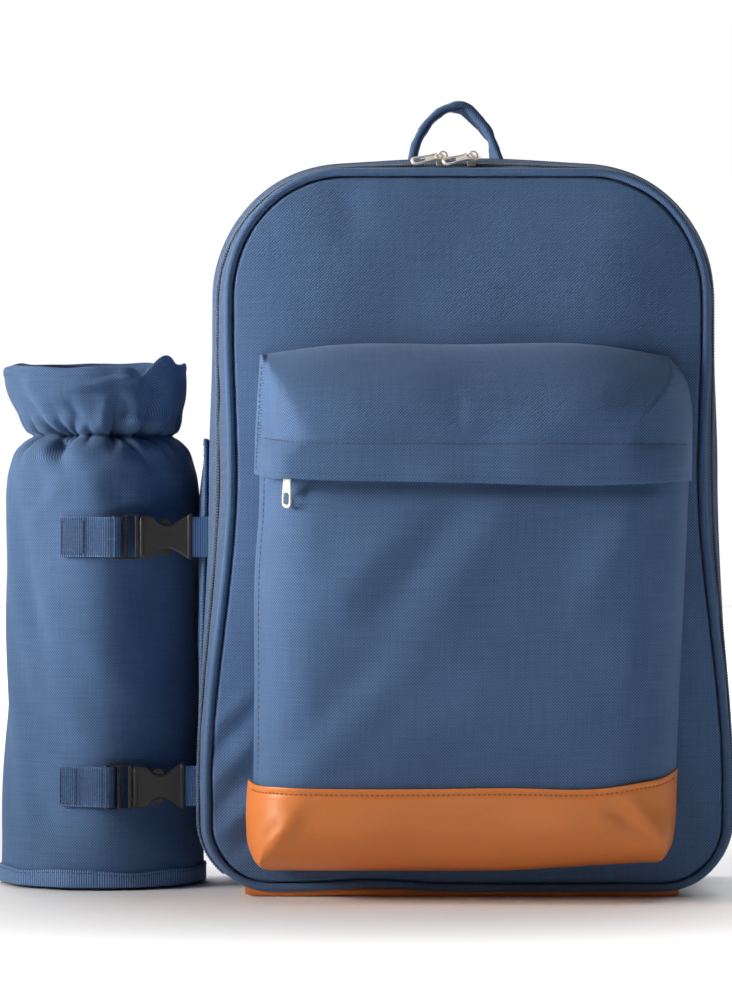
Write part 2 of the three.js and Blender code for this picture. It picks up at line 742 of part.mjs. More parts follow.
// The frame of a buckle: x along it towards the bag, y up, z out of its face
function buckleFrame(strap) {
  const bar = barPlace(strap);
  const turn = degrees(strap.turn);
  const along = at(Math.cos(turn), Math.sin(turn), 0);
  const up = at(0, 0, 1);
  const frame = new THREE.Matrix4().makeBasis(along, up, along.clone().cross(up));
  const start = at(bar.x, bar.y, strap.z).addScaledVector(along, -BUCKLE.bar / 2);
  return frame.setPosition(start);
}

function rectangle(xFrom, xTo, half) {
  return flatShape([[xFrom, -half], [xTo, -half], [xTo, half], [xFrom, half]]);
}

function buckleMale() {
  const { half, male, bar, slot, ridge, armIn, armOut, button, cavityEnd } = BUCKLE;
  const arm = [
    [male - 1, armIn], [cavityEnd - 5, armIn], [cavityEnd - 2, armIn + 1], [cavityEnd - 2.4, armOut - 0.6],
    [cavityEnd - 4, button], [cavityEnd - 7, button], [cavityEnd - 9, armOut], [male - 1, armOut],
  ];
  const inside = half - BUCKLE.rail;
  const firstSlot = bar + slot;
  const guide = rectangle(male - 1, cavityEnd - 6, 1.6);
  const below = arm.map(([x, y]) => [x, -y]).reverse();
  const shapes = [rectangle(0, male - 0.3, half), flatShape(arm), flatShape(below), guide];
  const nextSlot = firstSlot + ridge;
  const slots = [rectangle(bar, firstSlot, inside), rectangle(nextSlot, nextSlot + slot, inside)];
  const solids = shapes.map((shape) => solidOf(plate(shape, BUCKLE.maleThick)));
  const joined = solids.reduce((sum, piece) => sum.add(piece));
  const cutters = slots.map((shape) => solidOf(plate(shape, BUCKLE.maleThick + 2)));
  return geometryOf(cutters.reduce((rest, cutter) => rest.subtract(cutter), joined));
}

function buckleFemale() {
  const { male, length, femaleThick, cavity, cavityEnd, cavityThick, webSlot, webRoom } = BUCKLE;
  const edge = [
    [male, 11], [male + 5, 11.8], [male + 9, 11.4], [male + 12.5, 8], [male + 17, 7.6], [male + 20, 8.4],
    [length - 5, 11], [length - 2, 12.6], [length, 12.8],
  ];
  const below = edge.map(([x, y]) => [x, -y]).reverse();
  const body = solidOf(plate(flatShape([...below, ...edge].reverse()), femaleThick));
  const hollow = solidOf(block(male - 1, cavityEnd, -cavity, cavity, -cavityThick / 2, cavityThick / 2));
  const webHalf = WEB_WIDTH / 2 + GAP;
  const web = solidOf(block(webSlot, length + 1, -webHalf, webHalf, -webRoom / 2, webRoom / 2));
  return geometryOf(body.subtract(hollow).subtract(web));
}

// Webbing on the pouch: sewn double round its front, then looped round the buckle's bar
function pouchStrap(strap) {
  const bar = barPlace(strap);
  const inner = pouchRadius(strap.z) + GAP;
  const outer = inner + 2 * WEBBING;
  const loopAt = Math.asin((bar.x - POUCH_X) / (inner + LOOP_INNER + WEBBING + 0.1));
  const from = degrees(SEWN_FROM);
  const round = (radius, turn) => [POUCH_X + radius * Math.sin(turn), POUCH_Y - radius * Math.cos(turn)];
  const turns = Array.from({ length: 9 }, (_, k) => from + ((loopAt - from) * k) / 8);
  const band = [...turns.map((t) => round(inner, t)), ...turns.map((t) => round(outer, t)).reverse()];
  const loop = new THREE.Shape().absarc(bar.x, bar.y, LOOP_INNER + WEBBING, 0, 2 * Math.PI);
  const opening = new THREE.Shape().absarc(bar.x, bar.y, LOOP_INNER, 0, 2 * Math.PI);
  const whole = solidOf(plate(flatShape(band), WEB_WIDTH)).add(solidOf(plate(loop, WEB_WIDTH)));
  const cut = whole.subtract(solidOf(plate(opening, WEB_WIDTH + 2)));
  return geometryOf(cut).translate(0, 0, strap.z);
}

// Webbing from the buckle to the bag's side, seen from above, where it turns forward along the gusset
function bagStrap(strap) {
  const start = at(BUCKLE.webSlot + 0.4, 0, 0).applyMatrix4(buckleFrame(strap));
  const end = at(BUCKLE.length + 2, 0, 0).applyMatrix4(buckleFrame(strap));
  const wall = -strap.wallX - WEBBING - GAP;
  const turnY = Math.min(end.y - 4, -34);
  const path = new THREE.CatmullRomCurve3([
    start,
    end,
    at(wall - 2.6, turnY + 3.4, strap.z),
    at(wall - 0.3, turnY - 3, strap.z),
    at(wall, -49.5, strap.z),
  ]);
  const points = path.getSpacedPoints(14);
  const up = at(0, 0, 1);
  const grid = [-WEB_WIDTH / 2, WEB_WIDTH / 2].map((rise) =>
    points.map((p, i) => {
      const out = direction(points, i).cross(up).normalize();
      return p.clone().addScaledVector(out, WEBBING / 2).addScaledVector(up, rise);
    }),
  );
  return sheet(grid, WEBBING, at(-100, 40, strap.z));
}

// A slider in its own frame: x along the zip, z out of the tape, with its loop over the pull's bar
function sliderGeometry() {
  const { length, width, seat, channel, top, loopIn, wire, wireWide } = SLIDER;
  const corners = [
    [-length / 2, -width / 2 + 1.4], [-length / 2 + 1.4, -width / 2], [length / 2 - 3, -width / 2],
    [length / 2, -width / 2 + 2], [length / 2, width / 2 - 2], [length / 2 - 3, width / 2],
    [-length / 2 + 1.4, width / 2], [-length / 2, width / 2 - 1.4],
  ];
  const body = solidOf(plate(flatShape(corners), top - seat).translate(0, 0, (top + seat) / 2));
  const room = COIL_WIDTH / 2 + 0.5;
  const passage = solidOf(block(-length, length, -room, room, seat - 1, channel));
  const rise = PULL_HEIGHT;
  const reach = loopIn + wire;
  const arch = new THREE.Shape();
  arch.moveTo(reach, top - 0.4);
  arch.lineTo(reach, rise);
  arch.absarc(0, rise, reach, 0, Math.PI, false);
  arch.lineTo(-reach, top - 0.4);
  arch.lineTo(-loopIn, top - 0.4);
  arch.lineTo(-loopIn, rise);
  arch.absarc(0, rise, loopIn, Math.PI, 0, true);
  arch.lineTo(loopIn, top - 0.4);
  const loop = solidOf(plate(arch, wireWide).rotateX(Math.PI / 2));
  return geometryOf(body.subtract(passage).add(loop));
}

// A pull in its own frame: its bar at the origin along y, its tab along -x
function pullGeometry() {
  const { width, thick, bar, eye, eyeWide, length, slotFrom, slotTo, slotWide } = PULL;
  const half = width / 2;
  const tab = flatShape([
    [bar, -half + 0.8], [bar, half - 0.8], [bar - 0.8, half], [-eye - 1, half], [-eye - 4, half - 0.5],
    [1.2 - length, half - 0.2], [-length, half - 1.2], [-length, 1.2 - half], [1.2 - length, 0.2 - half],
    [-eye - 4, 0.5 - half], [-eye - 1, -half], [bar - 0.8, -half],
  ]);
  tab.holes.push(rectangle(-eye, -bar, eyeWide / 2));
  const end = slotWide / 2;
  const slot = new THREE.Path();
  slot.absarc(-slotTo + end, 0, end, Math.PI / 2, Math.PI * 1.5, false);
  slot.absarc(-slotFrom - end, 0, end, -Math.PI / 2, Math.PI / 2, false);
  tab.holes.push(slot);
  return plate(tab, thick);
}

// The frame of a slider on a zip: along the zip, across it, and out of the tape
function zipFrame(place, along, out) {
  const across = out.clone().cross(along).normalize();
  return new THREE.Matrix4().makeBasis(along.clone().normalize(), across, out).setPosition(place);
}

function topZipFrame(x) {
  const [front, teeth, rear] = TAPE_RINGS.map((ring) => at(x, FRONT_Y + ring.depth, ring.head));
  const bulge = (panelY(x, TAPE_RINGS[0].head) - FRONT_Y) * (1 - smoothStep(0, 14, TAPE_RINGS[0].depth));
  front.y += bulge;
  const slope = rear.sub(front).normalize();
  return zipFrame(teeth, at(1, 0, 0), at(1, 0, 0).cross(slope).normalize());
}

function pocketZipFrame() {
  const [x, z] = [POCKET_SLIDER_X, ZIP_LINE];
  const along = pocketZipPoint(x + 3, z).sub(pocketZipPoint(x - 3, z)).normalize();
  const up = pocketZipPoint(x, z + 3).sub(pocketZipPoint(x, z - 3));
  return zipFrame(pocketZipPoint(x, z), along, along.clone().cross(up).normalize());
}

function addTopSliders() {
  for (const { name, x, turn } of TOP_SLIDERS) {
    const frame = topZipFrame(x);
    add(`slider_${name}`, sliderGeometry(), nickel).applyMatrix4(frame);
    const yaw = new THREE.Matrix4().makeRotationZ(degrees(turn)).setPosition(0, 0, PULL_HEIGHT);
    add(`pull_${name}`, pullGeometry(), nickel).applyMatrix4(frame.clone().multiply(yaw));
  }
}

// The pocket's pull hangs on the right leg of its slider's loop
function addPocketSlider() {
  const frame = pocketZipFrame();
  add("slider_pocket", sliderGeometry(), nickel).applyMatrix4(frame);
  const leg = SLIDER.loopIn + SLIDER.wire / 2;
  const hang = new THREE.Matrix4().makeRotationZ(degrees(90 - POCKET_PULL.lean));
  hang.setPosition(leg, 0, PULL_HEIGHT);
  const grip = new THREE.Matrix4().makeTranslation(POCKET_PULL.pivot, -POCKET_PULL.aside, 0);
  add("pull_pocket", pullGeometry(), nickel).applyMatrix4(frame.clone().multiply(hang).multiply(grip));
}

function handle() {
  const path = HANDLE_PATH.map(({ x, z }) => at(x, HANDLE_Y, z));
  const points = new THREE.CatmullRomCurve3(path).getSpacedPoints(18);
  const away = at(0, 1, 0);
  const sections = points.map((p, i) => {
    const out = away.clone().cross(direction(points, i)).normalize();
    return oval(p, away, out, HANDLE_WIDE, HANDLE_THICK, 8);
  });
  return loft(sections);
}

// Half width of the gusset's outside at a depth and height
function gussetHalf(y, z) {
  const rows = GUSSET_RINGS.map((ring) => ({ depth: FRONT_Y + ring.depth, half: halfWidth(ring, z) }));
  return lookUp(rows, "depth", y, "half");
}

function sidePocket() {
  const { front, back, foot, head, puff } = SIDE_POCKET;
  const ys = [0, 0.06, 0.25, 0.5, 0.75, 0.94, 1].map((t) => THREE.MathUtils.lerp(front, back, t));
  const zs = [0, 0.25, 0.5, 0.75, 0.95, 1].map((t) => THREE.MathUtils.lerp(foot, head, t));
  const grid = zs.map((z) =>
    ys.map((y) => {
      const swell = puff * Math.sin((Math.PI * (y - front)) / (back - front)) * smoothStep(130, 200, z);
      return at(-gussetHalf(y, z) - 2 * GAP - CLOTH - swell, y, z);
    }),
  );
  return sheet(grid, CLOTH, BAG_MIDDLE);
}

function shoulderStrap(side) {
  const rows = SHOULDER_ROWS;
  const curve = new THREE.CatmullRomCurve3(rows.map(({ x, y, z }) => at(side * x, y, z)));
  const steps = 16;
  const points = curve.getPoints(steps);
  const sections = points.map((p, i) => {
    const along = direction(points, i);
    const wideWay = along.clone().cross(at(0, 1, 0)).normalize();
    const thickWay = wideWay.clone().cross(along).normalize();
    const row = (i / steps) * (rows.length - 1);
    const table = rows.map(({ wide, thick }, k) => ({ k, wide, thick }));
    const [wide, thick] = ["wide", "thick"].map((column) => lookUp(table, "k", row, column));
    return oval(p, wideWay, thickWay, wide, thick, 8);
  });
  return loft(sections);
}

function strapWebbing(side) {
  const curve = new THREE.CatmullRomCurve3(LOW_WEB_ROWS.map(({ x, y, z }) => at(side * x, y, z)));
  const points = curve.getPoints(12);
  const grid = [-0.5, 0.5].map((share) =>
    points.map((p, i) => {
      const wideWay = direction(points, i).cross(at(0, 1, 0)).normalize();
      return p.clone().addScaledVector(wideWay, share * LOW_WEB_WIDE);
    }),
  );
  return sheet(grid, WEBBING, at(0, 200, 100));
}

function strapTab(side) {
  const corners = TAB_CORNERS.map(({ x, z }) => [side * x, z]);
  const tab = plate(flatShape(side > 0 ? corners : corners.reverse()), TAB_THICK);
  tab.rotateX(Math.PI / 2);
  return tab.translate(0, TAB_Y + TAB_THICK / 2, 0);
}

// The bag's body
add("front_panel", frontPanel(), cloth);
add("piping", piping(), trim);
add("zip_tape", zipTape(), trim);
add("zip_coil", zipCoil(), trim);
add("lid_hinge", lidHinge(), cloth);
add("gusset", gusset(), cloth);
add("base_panel", basePanel(), leather);
add("back_panel", backPanel(), cloth);
add("handle", handle(), cloth);
add("side_pocket", sidePocket(), cloth);

// The front pocket
add("pocket_body", pocketBody(), cloth);
add("pocket_hood", pocketHood(), cloth);
add("pocket_zip", pocketZip(), trim);
add("pocket_coil", pocketCoil(), trim);
add("pocket_leather", pocketLeather(), leather);

// The bottle pouch with its webbing and buckles
add("pouch_wall", pouchWall(), cloth);
add("pouch_floor", pouchFloor(), cloth);
add("pouch_hem", pouchHem(), trim);
for (const strap of STRAPS) {
  add(`pouch_strap_${strap.name}`, pouchStrap(strap), trim);
  add(`buckle_male_${strap.name}`, buckleMale(), plastic).applyMatrix4(buckleFrame(strap));
  add(`buckle_female_${strap.name}`, buckleFemale(), plastic).applyMatrix4(buckleFrame(strap));
  add(`bag_strap_${strap.name}`, bagStrap(strap), trim);
}

// Sliders and pulls
addTopSliders();
addPocketSlider();

// The back
for (const [name, side] of [["left", -1], ["right", 1]]) {
  add(`shoulder_strap_${name}`, shoulderStrap(side), cloth);
  add(`strap_webbing_${name}`, strapWebbing(side), trim);
  add(`strap_tab_${name}`, strapTab(side), leather);
}

export default bag;
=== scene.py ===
import json
import math

import bmesh
import bpy
import numpy as np
from mathutils import Matrix, Vector
from mathutils.bvhtree import BVHTree

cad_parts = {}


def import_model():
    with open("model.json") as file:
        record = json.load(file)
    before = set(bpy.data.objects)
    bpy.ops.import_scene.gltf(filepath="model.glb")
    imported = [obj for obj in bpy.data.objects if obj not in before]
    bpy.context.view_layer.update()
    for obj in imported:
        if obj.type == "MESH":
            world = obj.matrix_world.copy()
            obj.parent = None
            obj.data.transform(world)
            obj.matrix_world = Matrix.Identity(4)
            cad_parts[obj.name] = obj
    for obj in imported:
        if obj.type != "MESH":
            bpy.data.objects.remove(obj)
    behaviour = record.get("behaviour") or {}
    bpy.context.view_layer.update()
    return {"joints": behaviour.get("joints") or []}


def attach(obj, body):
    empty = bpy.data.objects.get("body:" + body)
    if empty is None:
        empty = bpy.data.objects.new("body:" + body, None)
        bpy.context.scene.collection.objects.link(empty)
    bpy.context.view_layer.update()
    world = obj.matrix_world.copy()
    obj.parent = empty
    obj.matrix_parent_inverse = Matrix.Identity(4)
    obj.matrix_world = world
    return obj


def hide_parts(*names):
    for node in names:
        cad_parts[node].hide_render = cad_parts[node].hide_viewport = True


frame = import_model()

# Sizes are in millimetres, in the part's frame: +Z up, the front faces -Y, +X to the right.
MM = 0.001
BACKWARD = np.array([0.0, 1.0, 0.0])
UPWARD = np.array([0.0, 0.0, 1.0])
SHARP_ANGLE = math.radians(40)  # edges sharper than this stay crisp on moulded pieces

# Camera: the photo's place and frame
PHOTO_HEIGHT = 1000
MM_PER_PIXEL = 0.5413
CAMERA_X = -52.5
CAMERA_Z = 215
CAMERA_DISTANCE = 2200  # to the piping's plane
SENSOR = 36
AMBIENT = 0.055
WHITE = (1, 1, 1)
# Lights: place, target and size in metres, power, colour, and the angle of their cone
LIGHTS = {
    "key": ((-0.93, -0.28, 0.5), (0.0, -0.09, 0.34), (0.4, 0.5), 1.95, (1, 0.93, 0.87), 43),
    "low": ((-0.95, -0.42, 0.3), (-0.22, -0.03, -0.03), (0.3, 0.3), 0.17, (1, 0.95, 0.9), 28),
    "fill": ((1.3, -0.8, 0.45), (0.0, -0.05, 0.2), (0.8, 0.8), 0.2, WHITE, 180),
    "top": ((0.35, -0.16, 1.3), (0.05, -0.1, 0.3), (0.6, 0.3), 1.6, WHITE, 180),
    "front_floor": ((-0.05, -0.58, 1.3), (-0.05, -0.58, 0.0), (1.8, 0.3), 5.6, WHITE, 38),
    "backdrop": ((0.0, 3.4, 2.2), (0.0, 3.4, 0.0), (6.0, 4.0), 300, WHITE, 180),
}

# The bag's body
FRONT_Y = -70
BACK_Y = 70
CROWN = 12
CROWN_REACH = 14  # depth over which the rings behind the panel leave its crown
BACK_CROWN = 4
BACK_PAD = (1.5, 7.5)  # how far its two faces lie inside the back's curve
BACK_CHANNELS = {"x": 42, "half": 3.2, "depth": 3.4, "middle": 200, "reach": (150, 178), "outer": (64, 69)}
BINDING = {"inset": 3.7, "y": 67.6, "wide": 8.4, "thick": 5.8}  # round the back
CLOTH = 2
LEATHER = 1.8
BASE_LEATHER = 2.6
BASE_ROLL = 2.4
BASE = {"left": -118, "right": 117, "front": -66, "rear": 62, "seam": 6}
WEBBING = 1.5
TAPE = 1
GAP = 0.3
PIPING_RADIUS = 2.2
PANEL_INSET = 0.9
PANEL_RINGS = 54  # rows of points from its edge to its middle
PANEL_CORE = 0.985
PANEL_CROWD = 1.9  # how much the rows crowd towards the edge
BEHIND_POCKET = {"half": (96, 116), "foot": (15, 30), "head": (285, 300)}  # where the panel stays plain
GROOVE = {"depth": 4.4, "floor": 1.5, "edge": 3}  # beside the piping
LOW_Z = 60
WAIST_Z = 230
HIGH_Z = 310
RING_COLUMNS = ("depth", "low", "waist", "high", "foot", "head", "low_bend", "high_bend", "shift")


def ring_rows(*rows):
    """Outlines of the body at some depths, with their columns named."""
    return [dict(zip(RING_COLUMNS, row)) for row in rows]


PIPING_RING = ring_rows((0, 141, 127.5, 129.5, 5, 392.5, 35, 68, 2.2))[0]
TAPE_RINGS = ring_rows(
    (0.6, 140.6, 127.2, 129.2, 5.2, 392.2, 35, 68, 2.2),
    (3.2, 141.9, 129.4, 131.4, 4.6, 393.8, 35, 69, 2.1),
    (11, 145, 134.4, 134.6, 4.2, 397.2, 37, 74, 1.4),
    (18, 145, 138.2, 136.3, 3.7, 401.1, 38, 73, 0.8),
)
GUSSET_RINGS = ring_rows(
    (18.4, 145, 138.6, 136.5, 3.6, 401.5, 38, 73, 0.8),
    (40, 142.5, 139.4, 137.6, 3.1, 403.2, 38, 76, 0.3),
    (82, 140.5, 140, 138.2, 3.1, 403, 38, 79, 0),
    (126, 140, 140, 138, 3.1, 401, 40, 82, 0),
    (138, 136, 136, 135, 6.6, 397, 40, 80, 0),
)
TAPE_ROWS = 9
GUSSET_ROWS = 34
# Where the gusset is slack, by height and by place across, and how far it hangs in at its sides and top
GUSSET_SLACK = {"foot": (8, 40), "side": (90, 125), "side_hang": 1.1, "top_hang": 0.6}
STEPS = {"foot": 24, "low": 20, "side": 64, "high": 34, "head": 18}  # of half an outline
ZIP_START = 0.4  # share of the low corner where the zip begins
CREASE = {"x": -52, "width": 26, "rise": 2.2, "tall": 14}  # of the foot
PANEL_MIDDLE = (PIPING_RING["foot"] + PIPING_RING["head"]) / 2
PANEL_HALF = (PIPING_RING["head"] - PIPING_RING["foot"]) / 2
# How far the top edge falls towards its corners, and over which depths, places across and heights
TOP_ARCH = {"fall": 3.5, "depth": (2, 18), "aside": (8, 95), "height": (300, 380)}
ZIP_LENGTH = 1100
ZIP_FROM = STEPS["foot"] + int(STEPS["low"] * ZIP_START)  # the first point of an outline on the zip
ZIP_TO = 2 * sum(STEPS.values()) - ZIP_FROM  # and the last one
BAG_MIDDLE = (0, 0, 200)
LID_MIDDLE = (0, FRONT_Y + 60, 200)
# The last entry is the width of a near-black strip of painted shade laid under the coil.
COIL = {"pitch": 1.55, "long": 2.1, "wide": 0.95, "high": 1.5, "aside": 0.75, "sunk": 0.3, "shade_band": 3.3}
# Soft unevenness of the pieces: size of the waves, seed of their random draws, and height
RIPPLES = {
    "panel_edge": (12, 3, 0.16),
    "panel": (90, 4, 0.7),
    "piping": (16, 5, 0.035),
    "zip_tape": (26, 6, 0.25),
    "gusset_sides": (46, 8, 1),
    "gusset_top": (60, 9, 1),
    "base": (60, 41, 0.35),
    "binding": (18, 28, 0.04),
    "pocket": (70, 11, 0.5),
    "pocket_seam": (11, 12, 0.45),
    "hood": (60, 14, 0.5),
    "hood_hem": (60, 15, 0.9),
    "hood_welt": (10, 16, 0.5),
    "leather": (70, 17, 0.8),
    "pouch": (52, 23, 1.1),
    "ruffle": (30, 24, 0.35),
    "hem_wall": (24, 25, 0.45),
    "hem_edge": (60, 26, 1.1),
    "rim": (40, 27, 0.12),
    "handle_thick": (7, 31, 0.07),
    "handle_wide": (20, 32, 0.03),
    "side_pocket": (50, 33, 1),
}
# Rows of a stitch: place along it, girth and sink; and of a tooth of a coil: place along it and girth
STITCH_SIDES = 6
STITCH_ROWS = [
    (-0.5, 0.25, -0.75), (-0.42, 0.75, -0.2), (-0.2, 1, 0.1),
    (0.2, 1, 0.1), (0.42, 0.75, -0.2), (0.5, 0.25, -0.75),
]
TOOTH_ROWS = [(-0.5, 0.45), (-0.34, 0.9), (0.0, 1.0), (0.34, 0.9), (0.5, 0.45)]

# The front pocket: edges by height or by place across, and depths by height
HOOD_SIDES = {
    "z": [222, 247, 272, 285, 299],
    "left": [-113, -112.4, -111.2, -110.4, -109.6],
    "right": [123.2, 123.8, 123.2, 119.8, 109.5],
}
HOOD_TOP = {"x": [-110, -72, 0, 74, 112], "z": [293.4, 298.3, 298.8, 298.3, 292.3]}
HOOD_HEM = {"x": [-113, -107, -88, -13, 71, 119], "z": [229.2, 227.2, 226, 224.4, 222.8, 225]}
HOOD_DEPTH = {"z": [222, 236, 247, 272, 299], "depth": [49, 48.4, 45, 46.5, 43]}
BODY_SIDES = {
    "z": [50, 107, 180, 212, 229],
    "left": [-113.6, -112.8, -112.4, -110.2, -110],
    "right": [114, 116.2, 119.8, 121.2, 121.8],
}
BODY_SPANS = {"edge": (0, 26), "low": (60, 84), "high": (212, 226), "tuck": (215, 225)}
BODY_SEAM = {"ridge": 1.2, "groove": 3.4, "high": 0.9}  # at its left edge
BODY_TUCK = 3
BODY_SLACK = 1.3
BODY_FOOT = 50
BODY_HEAD = 229
BODY_DEPTH = {"z": [50, 130, 229], "depth": [40, 42, 39]}
LEATHER_SIDES = {
    "z": [15, 17, 20, 25, 31, 38, 53, 75],
    "left": [-101, -108.4, -112.1, -114.8, -116.6, -117.2, -117.2, -115.2],
    "right": [103.5, 106.8, 109.4, 112.2, 113.6, 114.4, 115, 115.6],
}
LEATHER_TOP = {
    "x": [-117, -112, -100, -34, 20, 78, 92, 108, 116],
    "z": [64.6, 63.1, 62.7, 62.1, 62.7, 63, 65.2, 67.8, 71.2],
}
LEATHER_LIFT = 4.6  # of its foot at the right
LEATHER_PROUD = 2.2
LEATHER_EDGE = 18
LEATHER_FOOT = 28
LEATHER_SPANS = {"lift": (10, 112), "side": (28, 62), "edge": (0, 20), "foot": (2, 24), "top": (-14, -4)}
LEATHER_HEAD = 66
LEATHER_SEAM = 3.4  # below its top edge
POCKET_FOOT = 15
POCKET_ROUND = 2.2
BODY_EDGE = 34
HOOD_LEFT_EDGE = 31
HOOD_FLAP_EDGE = 20
HOOD_EDGE = 40
TOP_EDGE = 50
HOOD_ROUND = 1.6
HOOD_SOFT = (0.055, 0.02)  # of its left mitre and its right one
HOOD_FOOT = 224
HOOD_TALL = 73
HOOD_LEFT = -113
HOOD_WIDE = 234
HOOD_SPANS = {"flap": (234, 250), "right": (226, 278), "hem": (224, 240), "soft": (226, 244)}
HOOD_LINE = {"z": 244.6, "rise": 5.5, "reach": 14}  # stitched above the flap, higher at the left
POCKET_SEAT = 0.5
ZIP_LOW = 226
ZIP_LINE = 232
ZIP_HIGH = 240
ZIP_LEAN = 1
ZIP_LEFT = -102
ZIP_RIGHT = 92
# Soft folds: from x, z to x, z, half width, and height
LEATHER_FOLDS = [
    (106, 30, 76, 52, 4.5, -1.3),
    (110, 34, 88, 56, 4, 1),
    (94, 30, 70, 46, 5, 0.8),
    (-113, 24, -101, 42, 3.6, -1.5),
    (-107, 21, -90, 50, 4.5, 1.3),
]
BODY_FOLDS = [
    (-18, 218, -74, 158, 12, 1.5),
    (-2, 208, -52, 148, 10, -1.3),
    (26, 218, -24, 142, 14, 1.5),
    (-45, 136, -97, 76, 11, -1.3),
    (-30, 126, -92, 62, 12, 1.5),
    (22, 122, -50, 68, 16, 1.1),
    (62, 192, 18, 118, 18, -1.3),
    (96, 220, 64, 168, 11, 1.2),
    (112, 214, 84, 160, 10, -1),
]
HOOD_FOLDS = [
    (96, 286, 48, 252, 9, 0.8),
    (-8, 276, -66, 236, 13, 0.8),
    (36, 272, -14, 232, 12, -0.7),
]
PANEL_FOLDS = [
    (-136, 92, -114, 112, 4, 1.5),
    (-136, 78, -113, 100, 4, -1.6),
    (-136, 62, -112, 86, 4.5, 2),
    (-134, 48, -111, 70, 4.5, -1.8),
    (-132, 34, -108, 56, 4.5, 2),
    (-124, 24, -104, 42, 4.5, -1.6),
    (-66, 386, -58, 360, 8, -0.8),
    (132, 60, 114, 96, 6, 1.4),
    (128, 36, 106, 58, 6, -1.4),
    (96, 380, 70, 330, 20, 0.8),
    (-96, 372, -60, 318, 22, 0.8),
]

# The bottle pouch
POUCH_X = -200.8
POUCH_Y = 22
POUCH_FOOT = 2.2
POUCH_ROWS = {
    "z": [
        2.2, 45, 110, 205, 222, 231.5, 238, 243, 246.8,
        249.3, 251, 253.2, 257, 263, 270, 278, 286, 290,
    ],
    "radius": [
        57, 56.4, 55.3, 54.5, 54.2, 53.2, 51, 47.8, 44,
        41.4, 40.4, 41.6, 43.2, 45.6, 48.6, 50.2, 50.4, 50,
    ],
    "lean": [0] * 11 + [0.2, 0.6, 1.2, 2, 3, 3.7, 4],
    "wave": [0] * 12 + [0.05, 0.18, 0.4, 0.68, 0.92, 1],
}
POUCH_RADIUS = POUCH_ROWS["radius"][0]
POUCH_MIDDLE = (POUCH_X, POUCH_Y, 150)
POUCH_COLUMNS = 400
POUCH_STEPS = [(2.2, 205, 34), (208, 236, 14), (237.2, 290, 58)]  # heights from and to, and rows
NECK_ARC = 44  # millimetres for a radian round the neck
BODY_ARC = 48  # and round the body
POUCH_SPANS = {"foot": (10, 40), "neck": (222, 244), "ruffle": (252, 262)}
STRAPPED = {"turn": -4, "half_turn": 0.5, "half": 20, "share": 0.92}  # where the straps hold its folds flat
NECK_Z = 251
# The gathers: width at the neck, its growth with depth and with height, strength and form of a crease
GATHER = {"wide": 0.4, "by_depth": 0.34, "by_height": 0.3, "strength": 1.5, "power": 1.35}
NECK_BULGE = {"away": 7, "high": 1.8}  # the cloth beside the neck
NECK_CORD = {"half": 1.4, "deep": 5}  # the groove that draws it in, deepest at the front
SQUARENESS = 3
SQUARE_CORNER = 2
# Creases of the gathered neck: turn from the front in degrees, depth, reach below and above, and slant
CREASES = [
    (-98, 3.2, 10, 12, 0.1),
    (-80, 3.0, 12, 12, 0.1),
    (-60, 3.2, 11, 10, 0.2),
    (-37, 3.8, 16, 26, -0.8),
    (-29, 5.2, 9, 11, 0),
    (-21, 3.8, 13, 9, 0.5),
    (-7, 2.2, 5, 6, 0.1),
    (13, 5.8, 8, 20, 0.25),
    (20, 4.4, 18, 6, -0.9),
    (39, 5.8, 10, 24, 0.35),
    (47, 4.8, 18, 8, -0.8),
    (64, 3.6, 12, 10, 0),
    (82, 4.2, 16, 12, -0.3),
    (101, 3.6, 12, 13, -0.2),
    (123, 3.0, 14, 15, 0.3),
    (142, 4.2, 10, 14, 0.2),
    (163, 3.4, 15, 11, -0.2),
    (184, 4.4, 12, 17, 0.1),
    (203, 3.2, 16, 12, 0.3),
    (222, 4.0, 11, 14, -0.3),
    (243, 3.4, 14, 13, 0.1),
]
# The mouth's rim: turn, half width in degrees, outward and upward
RIM_FOLDS = [
    (-88, 14, 1.4, -1.6),
    (-45, 26, -0.8, -1.6),
    (-5, 28, -2.6, -3.2),
    (24, 7, 2, -1.2),
    (38, 8, -4.6, -7),
    (53, 9, 2.6, 4.6),
    (88, 14, 0.4, 1),
    (150, 30, 0.6, 2),
    (184, 24, -1.5, 1.6),
    (220, 26, 1, 1.8),
    (248, 14, -2, 1),
]
# Dents under the neck: turn, height, half width in degrees, half height, and depth
DENTS = [
    (-33, 243.5, 6, 3.6, 3.6),
    (-46, 240, 7, 5, 1.6),
    (22, 242.5, 10, 3.4, 3.8),
    (44, 239, 7, 6, 3.8),
    (2, 241, 8, 5, 1.4),
    (70, 240, 8, 6, 3),
    (118, 241, 9, 5, 3),
    (170, 242, 9, 5, 3.2),
    (228, 240, 9, 6, 3),
    (-30, 252.5, 4.5, 2.8, 3),
    (13, 252.5, 4.5, 3, 3.6),
    (39, 252, 5, 3, 4),
    (62, 252, 5, 3, 3),
    (22, 250.4, 13, 2.6, 4.4),
    (47, 249.8, 12, 3, 5.4),
    (-36, 250.6, 12, 2.4, 3.4),
]
# Folds of the ruffle, by place round it and height: from, to, half width, and height
RUFFLE_FOLDS = [
    (27, 286, 2, 281, 2.6, 2.2),
    (24, 281.5, -22, 273, 3.2, -2.2),
    (0, 279, -36, 268, 4.5, 1.8),
    (35, 284, 44, 272, 3, -2.4),
    (-40, 284, -32, 262, 6, 1.2),
    (8, 273, 3, 255, 4, 1.8),
    (17, 270, 13, 255, 3, -1.8),
    (-14, 272, -9, 256, 3.6, -1.4),
    (26, 274, 24, 256, 3.6, 1.8),
    (8, 259.5, 44, 257.5, 3.6, 2.2),
    (-44, 259.5, -20, 258.5, 3.4, 1.6),
    (14, 243.5, 40, 242, 3.2, 1.4),
]
